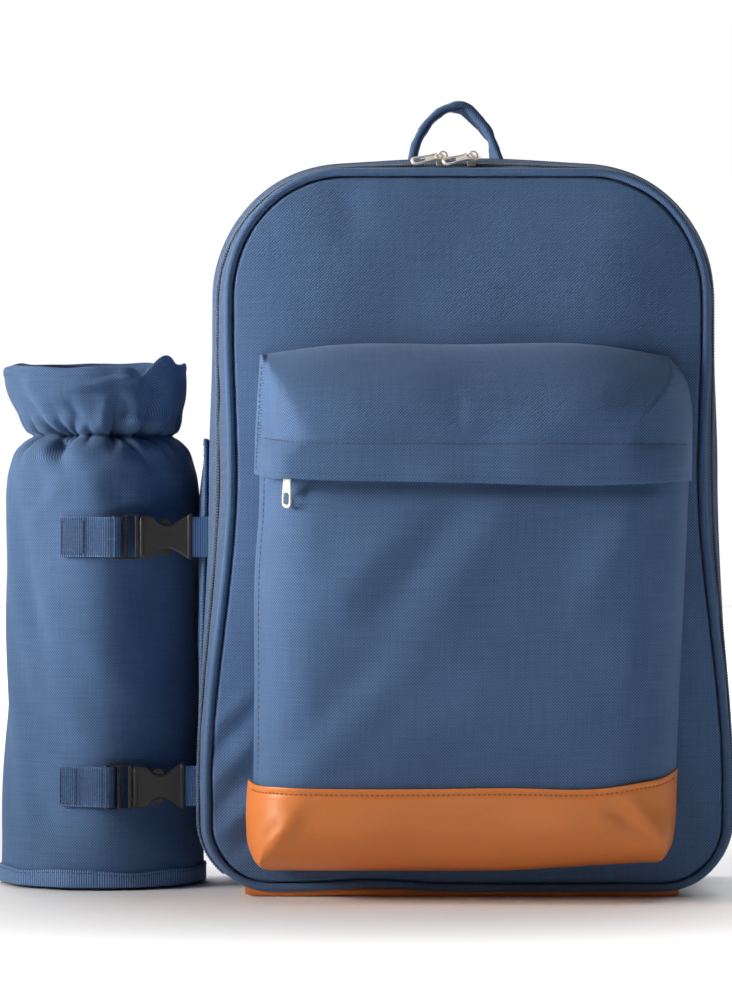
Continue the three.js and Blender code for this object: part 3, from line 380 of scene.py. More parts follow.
# Slack folds of its body, in the same way
POUCH_FOLDS = [
    (-34, 158, 8, 122, 9, 1.7),
    (-46, 104, -6, 76, 8, -1.6),
    (8, 182, 42, 150, 8, -1.6),
    (-18, 228, -40, 200, 7, 2),
    (4, 226, 24, 200, 7, -2),
    (32, 232, 12, 202, 6, 1.8),
    (-42, 46, 0, 26, 7, -2.6),
    (-2, 46, 36, 24, 8, 2.6),
    (14, 114, 44, 88, 8, 1.7),
    (-52, 180, -30, 132, 8, -1.4),
]
RIM_ROLL = {"inside": 0.8, "wide": 2.7, "tall": 6}
HEM_HEIGHT = 9.5
HEM_THICK = 1.4
HEM_FOOT = 1.6
HEM_SEAM = 1.2
FLOOR_THICK = 2

# Webbing and buckles
WEB_WIDTH = 22
WEB_SEAM = 1.6  # of its stitches from its edges
RIB_PITCH = 1.3
RIB_HEIGHT = 0.17
LOOP_INNER = 2.5
SEWN_FROM = -22
STRAP_SEWN = 3.2  # how far a strap goes into the bag's side seam
BUCKLE = {
    "half": 12.4, "male": 15.2, "length": 44, "rail": 1.1, "bar": 2.4, "slot": 3.8, "ridge": 2.4,
    "male_thick": 3.6, "female_thick": 7.6, "cavity_end": 35, "arm_in": 5.4, "arm_out": 8.7,
    "button": 9.9, "web_slot": 41,
}
STRAPS = [
    {"name": "upper", "z": 194.7, "bar_x": -190.8, "turn": 4, "wall_x": 139.6},
    {"name": "lower", "z": 57.4, "bar_x": -194.6, "turn": 11, "wall_x": 144.2},
]

# Sliders and pulls
SLIDER_TOP = 2.8
SLIDER_LOOP = 1.95
SLIDER_ARCH = 2.5
SLIDER_SPAN = (-97.0, -91.0)  # the stretch of the pocket's zip under its slider
TOP_ZIP = {"front": (3.2, 393.4), "coil": (11, 399), "rear": (18, 401.4)}  # depth and height
PULL_HEIGHT = 3.75
PULL_ROLL = 24  # the top pulls lean forward
TOP_SLIDERS = [("left", -11, 27), ("right", 5.5, 30)]
POCKET_PULL = {"pivot": 1.65, "aside": 0.9, "lean": 7}

# Handle, side pocket and straps of the back
HANDLE_Y = 54
HANDLE_WIDE = 18
HANDLE_PATH = [
    (-27, 402.4), (-24.8, 415.1), (-22.8, 420.8), (-19.6, 426.6), (-15.3, 432.3), (-8.4, 437.8),
    (-1.5, 439.6), (4.4, 438.2), (10.7, 432.3), (15.8, 426.6), (19.3, 420.8), (20.8, 415.1), (23, 402.4),
]
HANDLE_ROWS = {
    "share": [0, 0.1, 0.25, 0.4, 0.48, 0.52, 0.56, 0.66, 0.76, 0.82, 0.86, 0.93, 1],
    "thick": [5.8, 5.4, 5.2, 5.2, 5.4, 6.2, 5.6, 5.4, 5, 4.6, 4.6, 4.8, 5.2],
    "twist": [3, 1, 0, -2, -3, 1, 9, 9, 6, 0, 6, 17, 22],
}
SIDE_POCKET = {
    "front": -30, "back": 58, "foot": 46, "head": 249, "hem": 14,
    "puff": 3.4, "swell": (60, 150), "flat": (208, 247),
}
SHOULDER_ROWS = {
    "x": [44, 44, 45, 48, 54, 61, 67],
    "y": [75.6, 77.9, 95.4, 108, 109, 102, 95],
    "z": [386, 368, 342, 300, 250, 200, 164],
    "wide": [56, 58, 58, 58, 56, 50, 36],
    "thick": [9, 11, 11, 11, 11, 10, 8],
}
LOW_WEB_PATH = [
    (67.2, 94.4, 162.8), (69.4, 92.8, 153), (78, 89.5, 126),
    (100, 81.6, 84), (124, 76.4, 54), (140, 74.7, 39),
]
LOW_WEB_WIDE = 20
TAB_Y = 71.35
TAB_THICK = 3
TAB_CORNERS = [(116, 30), (146, 22), (155, 31), (152, 44), (124, 64)]


# Numbers
def smooth_step(low, high, x):
    share = np.clip((x - low) / (high - low), 0, 1)
    return share * share * (3 - 2 * share)


def curve(xs, ys, x):
    """A smooth line through table points, level with the end points beyond them."""
    xs, ys = np.asarray(xs, float), np.asarray(ys, float)
    slopes = np.gradient(ys, xs)
    x = np.clip(np.asarray(x, float), xs[0], xs[-1])
    i = np.clip(np.searchsorted(xs, x) - 1, 0, len(xs) - 2)
    step = xs[i + 1] - xs[i]
    t = (x - xs[i]) / step
    near = (1 + 2 * t) * (1 - t) ** 2 * ys[i] + t * (1 - t) ** 2 * step * slopes[i]
    far = t * t * (3 - 2 * t) * ys[i + 1] - t * t * (1 - t) * step * slopes[i + 1]
    return near + far


def look_up(table, key, x, column):
    return curve(table[key], table[column], x)


def bell(x, middle, half):
    """A soft bump of height 1."""
    return np.exp(-(((x - middle) / half) ** 2))


def ripples(u, v, size, seed, count=12):
    """Smooth uneven height of about -1 to 1, from waves of about one size."""
    draw = np.random.default_rng(seed)
    total = np.zeros(np.broadcast(u, v).shape)
    for _ in range(count):
        angle, phase = draw.uniform(0, 2 * np.pi, 2)
        length = size * draw.uniform(0.6, 1.7)
        total += np.sin((u * np.cos(angle) + v * np.sin(angle)) * 2 * np.pi / length + phase)
    return total * 1.2 / math.sqrt(count) / 1.4


def uneven(name, u, v=None):
    """A piece's soft unevenness at places u and v, or along u alone."""
    size, seed, height = RIPPLES[name]
    return ripples(u, u * 0 if v is None else v, size, seed) * height


def folds(x, z, rows):
    """Height of soft folds, each fading at its ends."""
    total = np.zeros(np.broadcast(x, z).shape)
    for x0, z0, x1, z1, wide, high in rows:
        run = np.array([x1 - x0, z1 - z0], float)
        length = np.hypot(*run)
        along = ((x - x0) * run[0] + (z - z0) * run[1]) / length**2
        away = ((x - x0) * run[1] - (z - z0) * run[0]) / length
        ends = smooth_step(-0.3, 0.3, along) * (1 - smooth_step(0.7, 1.3, along))
        total += high * ends * bell(away, 0, wide)
    return total


def path_lengths(path):
    """How far along a path each of its points lies."""
    return np.concatenate([[0], np.cumsum(np.linalg.norm(np.diff(path, axis=0), axis=1))])


def at_lengths(rows, lengths, places):
    """Rows that belong to the points of a path, at other places along it."""
    return np.stack([np.interp(places, lengths, rows[:, k]) for k in range(rows.shape[1])], axis=1)


def resample(points, spacing):
    """A smooth path through points, with even steps."""
    points = np.asarray(points, float)
    knots = np.arange(len(points))
    fine = np.linspace(0, len(points) - 1, 40 * len(points))
    path = np.stack([curve(knots, points[:, k], fine) for k in range(points.shape[1])], axis=1)
    lengths = path_lengths(path)
    count = max(int(round(lengths[-1] / spacing)), 2)
    even = np.linspace(0, lengths[-1], count + 1)
    return at_lengths(path, lengths, even), even


def unit(vectors):
    return vectors / np.maximum(np.linalg.norm(vectors, axis=-1, keepdims=True), 1e-12)


def directions(path, loop=False):
    if loop:
        return unit(np.roll(path, -1, axis=0) - np.roll(path, 1, axis=0))
    return unit(np.gradient(path, axis=0))


# Meshes
def mesh_object(name, points, faces, material, body="bag", slot=None, smooth=True):
    mesh = bpy.data.meshes.new(name)
    mesh.from_pydata((np.asarray(points) * MM).tolist(), [], [list(map(int, f)) for f in faces])
    mesh.materials.append(material)
    mesh.polygons.foreach_set("use_smooth", [smooth] * len(mesh.polygons))
    mesh.update()
    obj = bpy.data.objects.new(name, mesh)
    bpy.context.scene.collection.objects.link(obj)
    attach(obj, body)
    return obj


def grid_faces(rows, columns, wrap):
    i, j = np.meshgrid(np.arange(rows - 1), np.arange(columns if wrap else columns - 1), indexing="ij")
    i, j = i.ravel(), j.ravel()
    k = (j + 1) % columns
    here, above = i * columns, (i + 1) * columns
    return np.stack([here + j, here + k, above + k, above + j], axis=1)


def capped_faces(rows, sides):
    """Faces of a tube from rows of points, closed at both ends."""
    faces = [list(f) for f in grid_faces(rows, sides, True)]
    return faces + [list(range(sides))[::-1], [(rows - 1) * sides + k for k in range(sides)]]


def joined_parts(parts):
    """Points and faces of several parts as one."""
    points, faces, count = [], [], 0
    for part_points, part_faces in parts:
        points.append(part_points)
        faces += [[k + count for k in face] for face in part_faces]
        count += len(part_points)
    return np.concatenate(points), faces


def copies(points, local):
    """Points and faces of one small form at many places. points has a row for each place."""
    size = points.shape[1]
    faces = [[n * size + k for k in face] for n in range(len(points)) for face in local]
    return points.reshape(-1, 3), faces


def vertex_places(mesh):
    places = np.empty(len(mesh.vertices) * 3)
    mesh.vertices.foreach_get("co", places)
    return places.reshape(-1, 3)


def thread_places(mesh, places, flipped=False):
    """Stores each face corner's place on the cloth, in millimetres along its threads."""
    i, j = np.meshgrid(*(np.arange(count - 1) for count in places.shape[:2]), indexing="ij")
    corners = [places[i, j], places[i, j + 1], places[i + 1, j + 1], places[i + 1, j]]
    if flipped:
        corners = corners[::-1]
    flat = np.stack([c.reshape(-1, 2) for c in corners], axis=1).reshape(-1, 2)
    vectors = np.zeros((len(mesh.loops), 3), np.float32)
    vectors[: len(flat), :2] = flat
    layer = mesh.attributes.new("threads", "FLOAT_VECTOR", "CORNER")
    layer.data.foreach_set("vector", vectors.ravel())


def sheet_object(name, grid, places, material, inside, thick=CLOTH, wrap=False, slot="cloth"):
    """A sheet from the grid of its outer face. places has one more column than grid where it wraps."""
    faces = grid_faces(*grid.shape[:2], wrap)
    flat = grid.reshape(-1, 3)
    a, b, c, d = (flat[faces[:, k]] for k in range(4))
    facing = np.cross(c - a, d - b)
    flipped = float(np.sum(facing * ((a + c) / 2 - np.asarray(inside, float)))) < 0
    if flipped:
        faces = faces[:, ::-1]
    obj = mesh_object(name, flat, faces, material, slot=slot)
    thread_places(obj.data, places, flipped)
    wall = obj.modifiers.new("wall", "SOLIDIFY")
    wall.thickness = thick * MM
    wall.offset = -1
    return obj


def tube_object(
    name, path, wide_way, thick_way, wide, thick, material, slot, sides=14, power=0.6, loop=False
):
    """A solid of rounded section along a path. wide and thick may change along it."""
    turn = 2 * np.pi * (np.arange(sides) + 0.5) / sides
    across = np.sign(np.cos(turn)) * np.abs(np.cos(turn)) ** power / 2
    out = np.sign(np.sin(turn)) * np.abs(np.sin(turn)) ** power / 2
    wide = np.broadcast_to(wide, len(path))[:, None, None]
    thick = np.broadcast_to(thick, len(path))[:, None, None]
    ring = path[:, None] + wide_way[:, None] * across[None, :, None] * wide
    ring = ring + thick_way[:, None] * out[None, :, None] * thick
    stack = np.concatenate([ring, ring[:1]]) if loop else ring
    if loop:
        faces = grid_faces(len(stack), sides, True) % (len(path) * sides)
    else:
        faces = capped_faces(len(path), sides)
    obj = mesh_object(name, ring.reshape(-1, 3), faces, material, slot=slot)
    lengths = path_lengths(stack[:, 0])
    girth = path_lengths(np.vstack([ring[0], ring[0, :1]]))
    thread_places(obj.data, np.stack(np.broadcast_arrays(lengths[:, None], girth[None]), axis=-1))
    outward(obj)
    return obj


def outward(obj):
    """Turns a closed mesh's faces out."""
    mesh = obj.data
    volume = 0.0
    for polygon in mesh.polygons:
        volume += polygon.center.dot(polygon.normal) * polygon.area
    if volume < 0:
        mesh.flip_normals()


def cloth_grid(grid, wrap=False):
    """Places on the cloth by the lengths along a grid's middle row and each of its columns."""
    closed = np.concatenate([grid, grid[:, :1]], axis=1) if wrap else grid
    u = path_lengths(closed[len(closed) // 2])
    v = np.cumsum(np.linalg.norm(np.diff(closed, axis=0, prepend=closed[:1]), axis=2), axis=0)
    return np.stack([np.broadcast_to(u, v.shape), v], axis=-1)


# Materials
def math_node(tree, operation, *values):
    node = tree.nodes.new("ShaderNodeMath")
    node.operation = operation
    for socket, value in zip(node.inputs, values):
        if isinstance(value, (int, float)):
            socket.default_value = value
        else:
            tree.links.new(value, socket)
    return node.outputs[0]


def mix_colours(tree, share, first, second):
    node = tree.nodes.new("ShaderNodeMix")
    node.data_type = "RGBA"
    for socket, value in ((node.inputs[0], share), (node.inputs[6], first), (node.inputs[7], second)):
        if isinstance(value, (tuple, list)):
            socket.default_value = (*value, 1)
        elif isinstance(value, (int, float)):
            socket.default_value = value
        else:
            tree.links.new(value, socket)
    return node.outputs[2]


def noise_node(tree, vector, scale, detail=2.0, roughness=0.5):
    node = tree.nodes.new("ShaderNodeTexNoise")
    node.inputs["Scale"].default_value = scale
    node.inputs["Detail"].default_value = detail
    node.inputs["Roughness"].default_value = roughness
    tree.links.new(vector, node.inputs["Vector"])
    return node.outputs["Fac"]


def scaled(tree, vector, x, y, z):
    node = tree.nodes.new("ShaderNodeVectorMath")
    node.operation = "MULTIPLY"
    tree.links.new(vector, node.inputs[0])
    node.inputs[1].default_value = (x, y, z)
    return node.outputs[0]


def bump_node(tree, height, distance, strength=1.0, below=None):
    node = tree.nodes.new("ShaderNodeBump")
    node.inputs["Strength"].default_value = strength
    node.inputs["Distance"].default_value = distance * MM
    tree.links.new(height, node.inputs["Height"])
    if below is not None:
        tree.links.new(below, node.inputs["Normal"])
    return node.outputs["Normal"]


def spread(tree, value, low, high):
    node = tree.nodes.new("ShaderNodeMapRange")
    tree.links.new(value, node.inputs["Value"])
    node.inputs["To Min"].default_value = low
    node.inputs["To Max"].default_value = high
    return node.outputs["Result"]


def start_material(name):
    material = bpy.data.materials.new(name)
    material.use_nodes = True
    tree = material.node_tree
    return material, tree, tree.nodes["Principled BSDF"]


def thread_vector(tree):
    node = tree.nodes.new("ShaderNodeAttribute")
    node.attribute_name = "threads"
    return node.outputs["Vector"]


def thread_axes(tree):
    """A place on the cloth, and how far it lies along and across the threads."""
    vector = thread_vector(tree)
    parts = tree.nodes.new("ShaderNodeSeparateXYZ")
    tree.links.new(vector, parts.inputs[0])
    return vector, parts.outputs[0], parts.outputs[1]


def object_vector(tree):
    return tree.nodes.new("ShaderNodeTexCoord").outputs["Object"]


def link_look(tree, shader, colour, roughness, normal):
    tree.links.new(colour, shader.inputs["Base Color"])
    tree.links.new(roughness, shader.inputs["Roughness"])
    tree.links.new(normal, shader.inputs["Normal"])


def woven_material(name, dark, light, thread=0.82, lean=0.72, depth=0.2, sheen=0.2):
    """Plain weave: raised threads in a chequer, with uneven threads and faint clouding."""
    material, tree, shader = start_material(name)
    vector, along, across = thread_axes(tree)
    wobble = math_node(tree, "MULTIPLY", noise_node(tree, vector, 0.35), 1.1)
    a = math_node(tree, "MULTIPLY_ADD", along, math.pi / thread, wobble)
    b = math_node(tree, "MULTIPLY_ADD", across, math.pi / thread, wobble)
    rising = math_node(tree, "COSINE", math_node(tree, "SUBTRACT", a, b))
    falling = math_node(tree, "COSINE", math_node(tree, "ADD", a, b))
    chequer = math_node(tree, "MULTIPLY", rising, (1 - lean) / 2)
    chequer = math_node(tree, "MULTIPLY_ADD", falling, -lean / 2, chequer)
    weave = math_node(tree, "ADD", chequer, 0.5)
    warp = noise_node(tree, scaled(tree, vector, 1.1, 0.03, 1), 1.0)
    weft = noise_node(tree, scaled(tree, vector, 0.03, 1.1, 1), 1.0)
    streaks = math_node(tree, "MULTIPLY", math_node(tree, "ADD", warp, weft), 0.5)
    cloud = noise_node(tree, object_vector(tree), 14, 3)
    clouding = math_node(tree, "MULTIPLY_ADD", cloud, 0.35, -0.45)
    shade = math_node(tree, "MULTIPLY_ADD", streaks, 0.55, clouding)
    share = math_node(tree, "MULTIPLY_ADD", weave, 0.8, math_node(tree, "ADD", shade, 0.1))
    colour = mix_colours(tree, share, dark, light)
    link_look(tree, shader, colour, spread(tree, weave, 0.92, 0.74), bump_node(tree, weave, depth, 0.7))
    shader.inputs["Sheen Weight"].default_value = sheen
    shader.inputs["Sheen Roughness"].default_value = 0.45
    shader.inputs["Sheen Tint"].default_value = (0.55, 0.68, 0.9, 1)
    shader.inputs["Specular IOR Level"].default_value = 0.25
    return material


def tape_material(name, dark, light):
    """Zip tape: a fine herringbone."""
    material, tree, shader = start_material(name)
    vector, along, across = thread_axes(tree)
    chevron = math_node(tree, "PINGPONG", across, 1.6)
    slant = math_node(tree, "MULTIPLY_ADD", chevron, 1.2, along)
    rib = math_node(tree, "SINE", math_node(tree, "MULTIPLY", slant, 2 * math.pi / 0.9))
    weave = math_node(tree, "MULTIPLY_ADD", rib, 0.5, 0.5)
    cloud = noise_node(tree, vector, 0.3, 3)
    share = math_node(tree, "MULTIPLY_ADD", cloud, 0.5, math_node(tree, "MULTIPLY", weave, 0.6))
    colour = mix_colours(tree, share, dark, light)
    link_look(tree, shader, colour, spread(tree, weave, 0.9, 0.7), bump_node(tree, weave, 0.12, 0.6))
    shader.inputs["Specular IOR Level"].default_value = 0.25
    return material


def webbing_material(name, dark, light):
    """Webbing: ribs with the short floats of their threads. On straps the ribs are modelled too."""
    material, tree, shader = start_material(name)
    vector, along, across = thread_axes(tree)
    rib = math_node(tree, "COSINE", math_node(tree, "MULTIPLY", along, 2 * math.pi / RIB_PITCH))
    thread = math_node(tree, "SINE", math_node(tree, "MULTIPLY", across, 2 * math.pi / 0.8))
    weave = math_node(tree, "MULTIPLY_ADD", thread, 0.06, math_node(tree, "MULTIPLY_ADD", rib, 0.5, 0.44))
    cloud = noise_node(tree, vector, 0.5, 3)
    share = math_node(tree, "MULTIPLY_ADD", cloud, 0.4, math_node(tree, "SUBTRACT", weave, 0.1))
    colour = mix_colours(tree, share, dark, light)
    link_look(tree, shader, colour, spread(tree, weave, 0.85, 0.6), bump_node(tree, weave, 0.15, 0.6))
    shader.inputs["Specular IOR Level"].default_value = 0.3
    return material


def leather_material(name, dark, light):
    """Smooth coated leather: fine pebble grain, faint clouding and satin shine."""
    material, tree, shader = start_material(name)
    vector = object_vector(tree)
    cells = tree.nodes.new("ShaderNodeTexVoronoi")
    cells.inputs["Scale"].default_value = 1500
    tree.links.new(vector, cells.inputs["Vector"])
    grain = math_node(tree, "MINIMUM", math_node(tree, "MULTIPLY", cells.outputs["Distance"], 1.6), 1.0)
    cloud = noise_node(tree, vector, 18, 4)
    fine = noise_node(tree, vector, 420, 2)
    share = math_node(tree, "MULTIPLY_ADD", fine, 0.25, math_node(tree, "MULTIPLY_ADD", cloud, 0.7, -0.05))
    shine = math_node(tree, "MULTIPLY_ADD", fine, 0.4, cloud)
    soft = bump_node(tree, cloud, 0.25, 0.3)
    colour = mix_colours(tree, share, dark, light)
    normal = bump_node(tree, grain, 0.06, 0.35, soft)
    link_look(tree, shader, colour, spread(tree, shine, 0.36, 0.5), normal)
    shader.inputs["Specular IOR Level"].default_value = 0.38
    shader.inputs["Coat Weight"].default_value = 0.08
    shader.inputs["Coat Roughness"].default_value = 0.35
    return material


def metal_material(name, dark, light):
    """Nickel plating with fine scratches."""
    material, tree, shader = start_material(name)
    vector = object_vector(tree)
    scratches = noise_node(tree, scaled(tree, vector, 900, 90, 900), 1.0, 3)
    colour = mix_colours(tree, noise_node(tree, vector, 160, 3), dark, light)
    normal = bump_node(tree, scratches, 0.02, 0.25)
    link_look(tree, shader, colour, spread(tree, scratches, 0.28, 0.46), normal)
    shader.inputs["Metallic"].default_value = 0.4
    return material


def plastic_material(name, dark, light):
    """Black moulded acetal with a fine spark-eroded texture."""
    material, tree, shader = start_material(name)
    vector = object_vector(tree)
    grit = noise_node(tree, vector, 2600, 2)
    cloud = noise_node(tree, vector, 130, 2)
    colour = mix_colours(tree, cloud, dark, light)
    link_look(tree, shader, colour, spread(tree, cloud, 0.34, 0.48), bump_node(tree, grit, 0.03, 0.3))
    return material


def thread_material(name, dark, light):
    """Sewing thread: twisted plies."""
    material, tree, shader = start_material(name)
    plies = noise_node(tree, object_vector(tree), 1400, 2)
    colour = mix_colours(tree, plies, dark, light)
    link_look(tree, shader, colour, spread(tree, plies, 0.5, 0.75), bump_node(tree, plies, 0.1, 0.6))
    return material


def floor_material(name):
    material, _, shader = start_material(name)
    shader.inputs["Base Color"].default_value = (0.9, 0.9, 0.9, 1)
    shader.inputs["Roughness"].default_value = 0.7
    return material


canvas = woven_material("canvas", (0.013, 0.034, 0.088), (0.093, 0.178, 0.342))
trim_cloth = woven_material(
    "trim_cloth", (0.015, 0.037, 0.09), (0.094, 0.178, 0.338), thread=0.7, depth=0.14
)
zip_cloth = tape_material("zip_cloth", (0.018, 0.036, 0.08), (0.085, 0.142, 0.25))
webbing = webbing_material("webbing", (0.012, 0.032, 0.085), (0.15, 0.27, 0.5))
tan_leather = leather_material("tan_leather", (0.56, 0.158, 0.03), (0.7, 0.222, 0.048))
nickel = metal_material("nickel", (0.6, 0.55, 0.48), (0.75, 0.7, 0.63))
plastic = plastic_material("plastic", (0.009, 0.009, 0.01), (0.02, 0.019, 0.02))
blue_thread = thread_material("blue_thread", (0.012, 0.026, 0.06), (0.045, 0.08, 0.15))
tan_thread = thread_material("tan_thread", (0.24, 0.08, 0.025), (0.42, 0.155, 0.055))
coil_nylon = thread_material("coil_nylon", (0.03, 0.055, 0.1), (0.13, 0.185, 0.27))
# Painted shade: a near-black colour for a strip under the coil teeth, where shade falls.
coil_shade_paint = thread_material("coil_shade_paint", (0.003, 0.006, 0.014), (0.012, 0.02, 0.04))


# Outlines of the body
def half_width(ring, z):
    to_waist = (ring["waist"] - ring["low"]) * smooth_step(LOW_Z, WAIST_Z, z)
    to_high = (ring["high"] - ring["waist"]) * smooth_step(WAIST_Z, HIGH_Z, z)
    return ring["low"] + to_waist + to_high


def crease(x):
    return CREASE["rise"] * bell(x, CREASE["x"], CREASE["width"])


def half_outline(ring, inset):
    half = ring["low"] - inset
    foot, head = ring["foot"] + inset, ring["head"] - inset
    low, high = ring["low_bend"] - inset, ring["high_bend"] - inset
    share = {name: np.arange(count) / count for name, count in STEPS.items()}
    low_turn, high_turn = share["low"] * np.pi / 2, share["high"] * np.pi / 2
    x = [
        (half - low) * share["foot"],
        half - low + low * np.sin(low_turn),
        np.full(STEPS["side"], half),
        half - high + high * np.cos(high_turn),
        (half - high) * (1 - share["head"]),
        [0],
    ]
    z = [
        np.full(STEPS["foot"], foot),
        foot + low - low * np.cos(low_turn),
        foot + low + (head - high - foot - low) * share["side"],
        head - high + high * np.sin(high_turn),
        np.full(STEPS["head"] + 1, head),
    ]
    x, z = np.concatenate(x), np.concatenate(z)
    fall = TOP_ARCH["fall"] * float(smooth_step(*TOP_ARCH["depth"], ring["depth"]))
    arch = fall * smooth_step(*TOP_ARCH["aside"], x) * smooth_step(*TOP_ARCH["height"], z)
    return x * (half_width(ring, z) - inset) / half, z - arch


def outline(ring, inset=0):
    """The whole outline, from the foot's middle to the right and round."""
    x, z = half_outline(ring, inset)
    x, z = np.concatenate([x, -x[-2:0:-1]]), np.concatenate([z, z[-2:0:-1]])
    low = 1 - smooth_step(ring["foot"], ring["foot"] + CREASE["tall"], z)
    return x + ring["shift"], z + crease(x) * low


def edge_share(x, z):
    aside = np.abs(x - PIPING_RING["shift"]) / half_width(PIPING_RING, z)
    away = np.abs(z - PANEL_MIDDLE) / PANEL_HALF
    return (aside**5 + away**5) ** 0.2


def panel_y(x, z):
    return FRONT_Y - CROWN * (1 - edge_share(x, z) ** 3)


def back_y(x, z):
    return BACK_Y + BACK_CROWN * (1 - np.minimum(edge_share(x, z), 1) ** 4)


def from_edge(x, z):
    """How far each place of a panel's rings lies inside the outermost one."""
    edge = np.stack([x[0], z[0]], axis=1)
    run = directions(edge, loop=True)
    return (x[0] - x) * run[:, 1] - (z[0] - z) * run[:, 0]


def panel_points(ring, inset, rings):
    """Places of a panel in rings from its edge to its middle, as x, z and share."""
    x, z = outline(ring, inset)
    share = (1 - np.linspace(0, PANEL_CORE, rings) ** PANEL_CROWD)[:, None]
    return x * share, PANEL_MIDDLE + (z - PANEL_MIDDLE) * share, np.broadcast_to(share, (rings, len(x)))


def ring_points(ring):
    x, z = outline(ring)
    near = 1 - smooth_step(0, CROWN_REACH, ring["depth"])
    return np.stack([x, FRONT_Y + ring["depth"] + (panel_y(x, z) - FRONT_Y) * near, z], axis=1)


def rings_between(rings, count):
    """Rings at even depths, smoothly through the given ones."""
    depths = [ring["depth"] for ring in rings]
    return [
        {name: float(curve(depths, [ring[name] for ring in rings], depth)) for name in RING_COLUMNS}
        for depth in np.linspace(depths[0], depths[-1], count)
    ]


# Stitches
def stitch_mesh(path, normals, length, width, lift):
    """Points and faces of one small rounded bar for each place of a path."""
    along = directions(path)
    across = np.cross(normals, along)
    turns = 2 * np.pi * np.arange(STITCH_SIDES) / STITCH_SIDES
    points = []
    for step, girth, sink in STITCH_ROWS:
        middle = path + along * (step * length) + normals * (lift + sink * width / 2)
        for turn in turns:
            ring = across * math.cos(turn) + normals * math.sin(turn)
            points.append(middle + ring * (girth * width / 2))
    return copies(np.stack(points, axis=1), capped_faces(len(STITCH_ROWS), STITCH_SIDES))


def stitches(name, paths, material, slot, pitch=3.2, length=2.3, width=0.62, lift=0.1):
    """Rows of stitches. Each path is points with their normals."""
    rows = []
    for path, normals in paths:
        path, normals = np.asarray(path, float), np.asarray(normals, float)
        lengths = path_lengths(path)
        places = np.arange(pitch / 2, lengths[-1], pitch)
        out = unit(at_lengths(normals, lengths, places))
        rows.append(stitch_mesh(at_lengths(path, lengths, places), out, length, width, lift))
    mesh_object(name, *joined_parts(rows), material, slot=slot)


def grid_normals(grid, inside):
    normals = unit(np.cross(np.gradient(grid, axis=0), np.gradient(grid, axis=1)))
    side = np.sum(normals * (grid - np.asarray(inside, float)))
    return normals * np.sign(side)


# The bag's body
def front_panel():
    x, z, share = panel_points(PIPING_RING, PANEL_INSET, PANEL_RINGS)
    y = panel_y(x, z) - CLOTH / 2
    turn = np.arctan2(z - PANEL_MIDDLE, x) * 180
    pucker = uneven("panel_edge", turn) * smooth_step(0.92, 1.0, share)
    behind = 1 - smooth_step(*BEHIND_POCKET["half"], np.abs(x))
    behind = behind * smooth_step(*BEHIND_POCKET["foot"], z) * (1 - smooth_step(*BEHIND_POCKET["head"], z))
    soft = uneven("panel", x, z) * (1 - share**6) + folds(x, z, PANEL_FOLDS)
    groove = GROOVE["depth"] * (1 - smooth_step(GROOVE["floor"], GROOVE["edge"], from_edge(x, z)))
    y = y - (soft + pucker) * (1 - behind) + groove
    grid = np.stack([x, y, z], axis=-1)
    places = np.stack([x, -z], axis=-1)
    places = np.concatenate([places, places[:, :1]], axis=1)
    obj = sheet_object("front_panel_cloth", grid, places, canvas, LID_MIDDLE, wrap=True)
    close_middle(obj, grid.shape)
    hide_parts("front_panel")


def close_middle(obj, shape):
    """Fills the small ring that a panel's rings leave in its middle."""
    mesh = obj.data
    rows, columns = shape[:2]
    work = bmesh.new()
    work.from_mesh(mesh)
    work.verts.ensure_lookup_table()
    ring = [work.verts[(rows - 1) * columns + j] for j in range(columns)]
    threads = work.loops.layers.float_vector["threads"]
    face = work.faces.new(ring)
    face.smooth = True
    for loop in face.loops:
        loop[threads] = (loop.vert.co.x / MM, -loop.vert.co.z / MM, 0)
    neighbour = next(f for e in face.edges for f in e.link_faces if f != face)
    shared = next(e for e in face.edges if neighbour in e.link_faces)
    same_way = [loop.vert for loop in face.loops if loop.edge == shared]
    other_way = [loop.vert for loop in neighbour.loops if loop.edge == shared]
    if same_way == other_way:
        face.normal_flip()
    work.to_mesh(mesh)
    work.free()


def piping():
    x, z = outline(PIPING_RING)
    path = np.stack([x, panel_y(x, z), z], axis=1)
    away = np.broadcast_to(BACKWARD, path.shape)
    out = unit(np.cross(directions(path, loop=True), away))
    size = 2 * PIPING_RADIUS * (1 + uneven("piping", np.arange(len(path))))
    obj = tube_object("piping_roll", path, out, away, size, size, trim_cloth, "trim", power=1, loop=True)
    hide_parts("piping")


def zip_grid():
    rings = rings_between(TAPE_RINGS, TAPE_ROWS)
    return np.stack([ring_points(ring)[ZIP_FROM : ZIP_TO + 1] for ring in rings])


def zip_tape():
    grid = zip_grid()
    normals = grid_normals(grid, BAG_MIDDLE)
    u = np.linspace(0, 1, grid.shape[1])[None] * ZIP_LENGTH
    wave = uneven("zip_tape", u) * np.sin(np.linspace(0, np.pi, TAPE_ROWS))[:, None]
    grid = grid + normals * wave[..., None]
    obj = sheet_object("zip_tape_cloth", grid, cloth_grid(grid), zip_cloth, BAG_MIDDLE, TAPE, slot="trim")
    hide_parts("zip_tape")


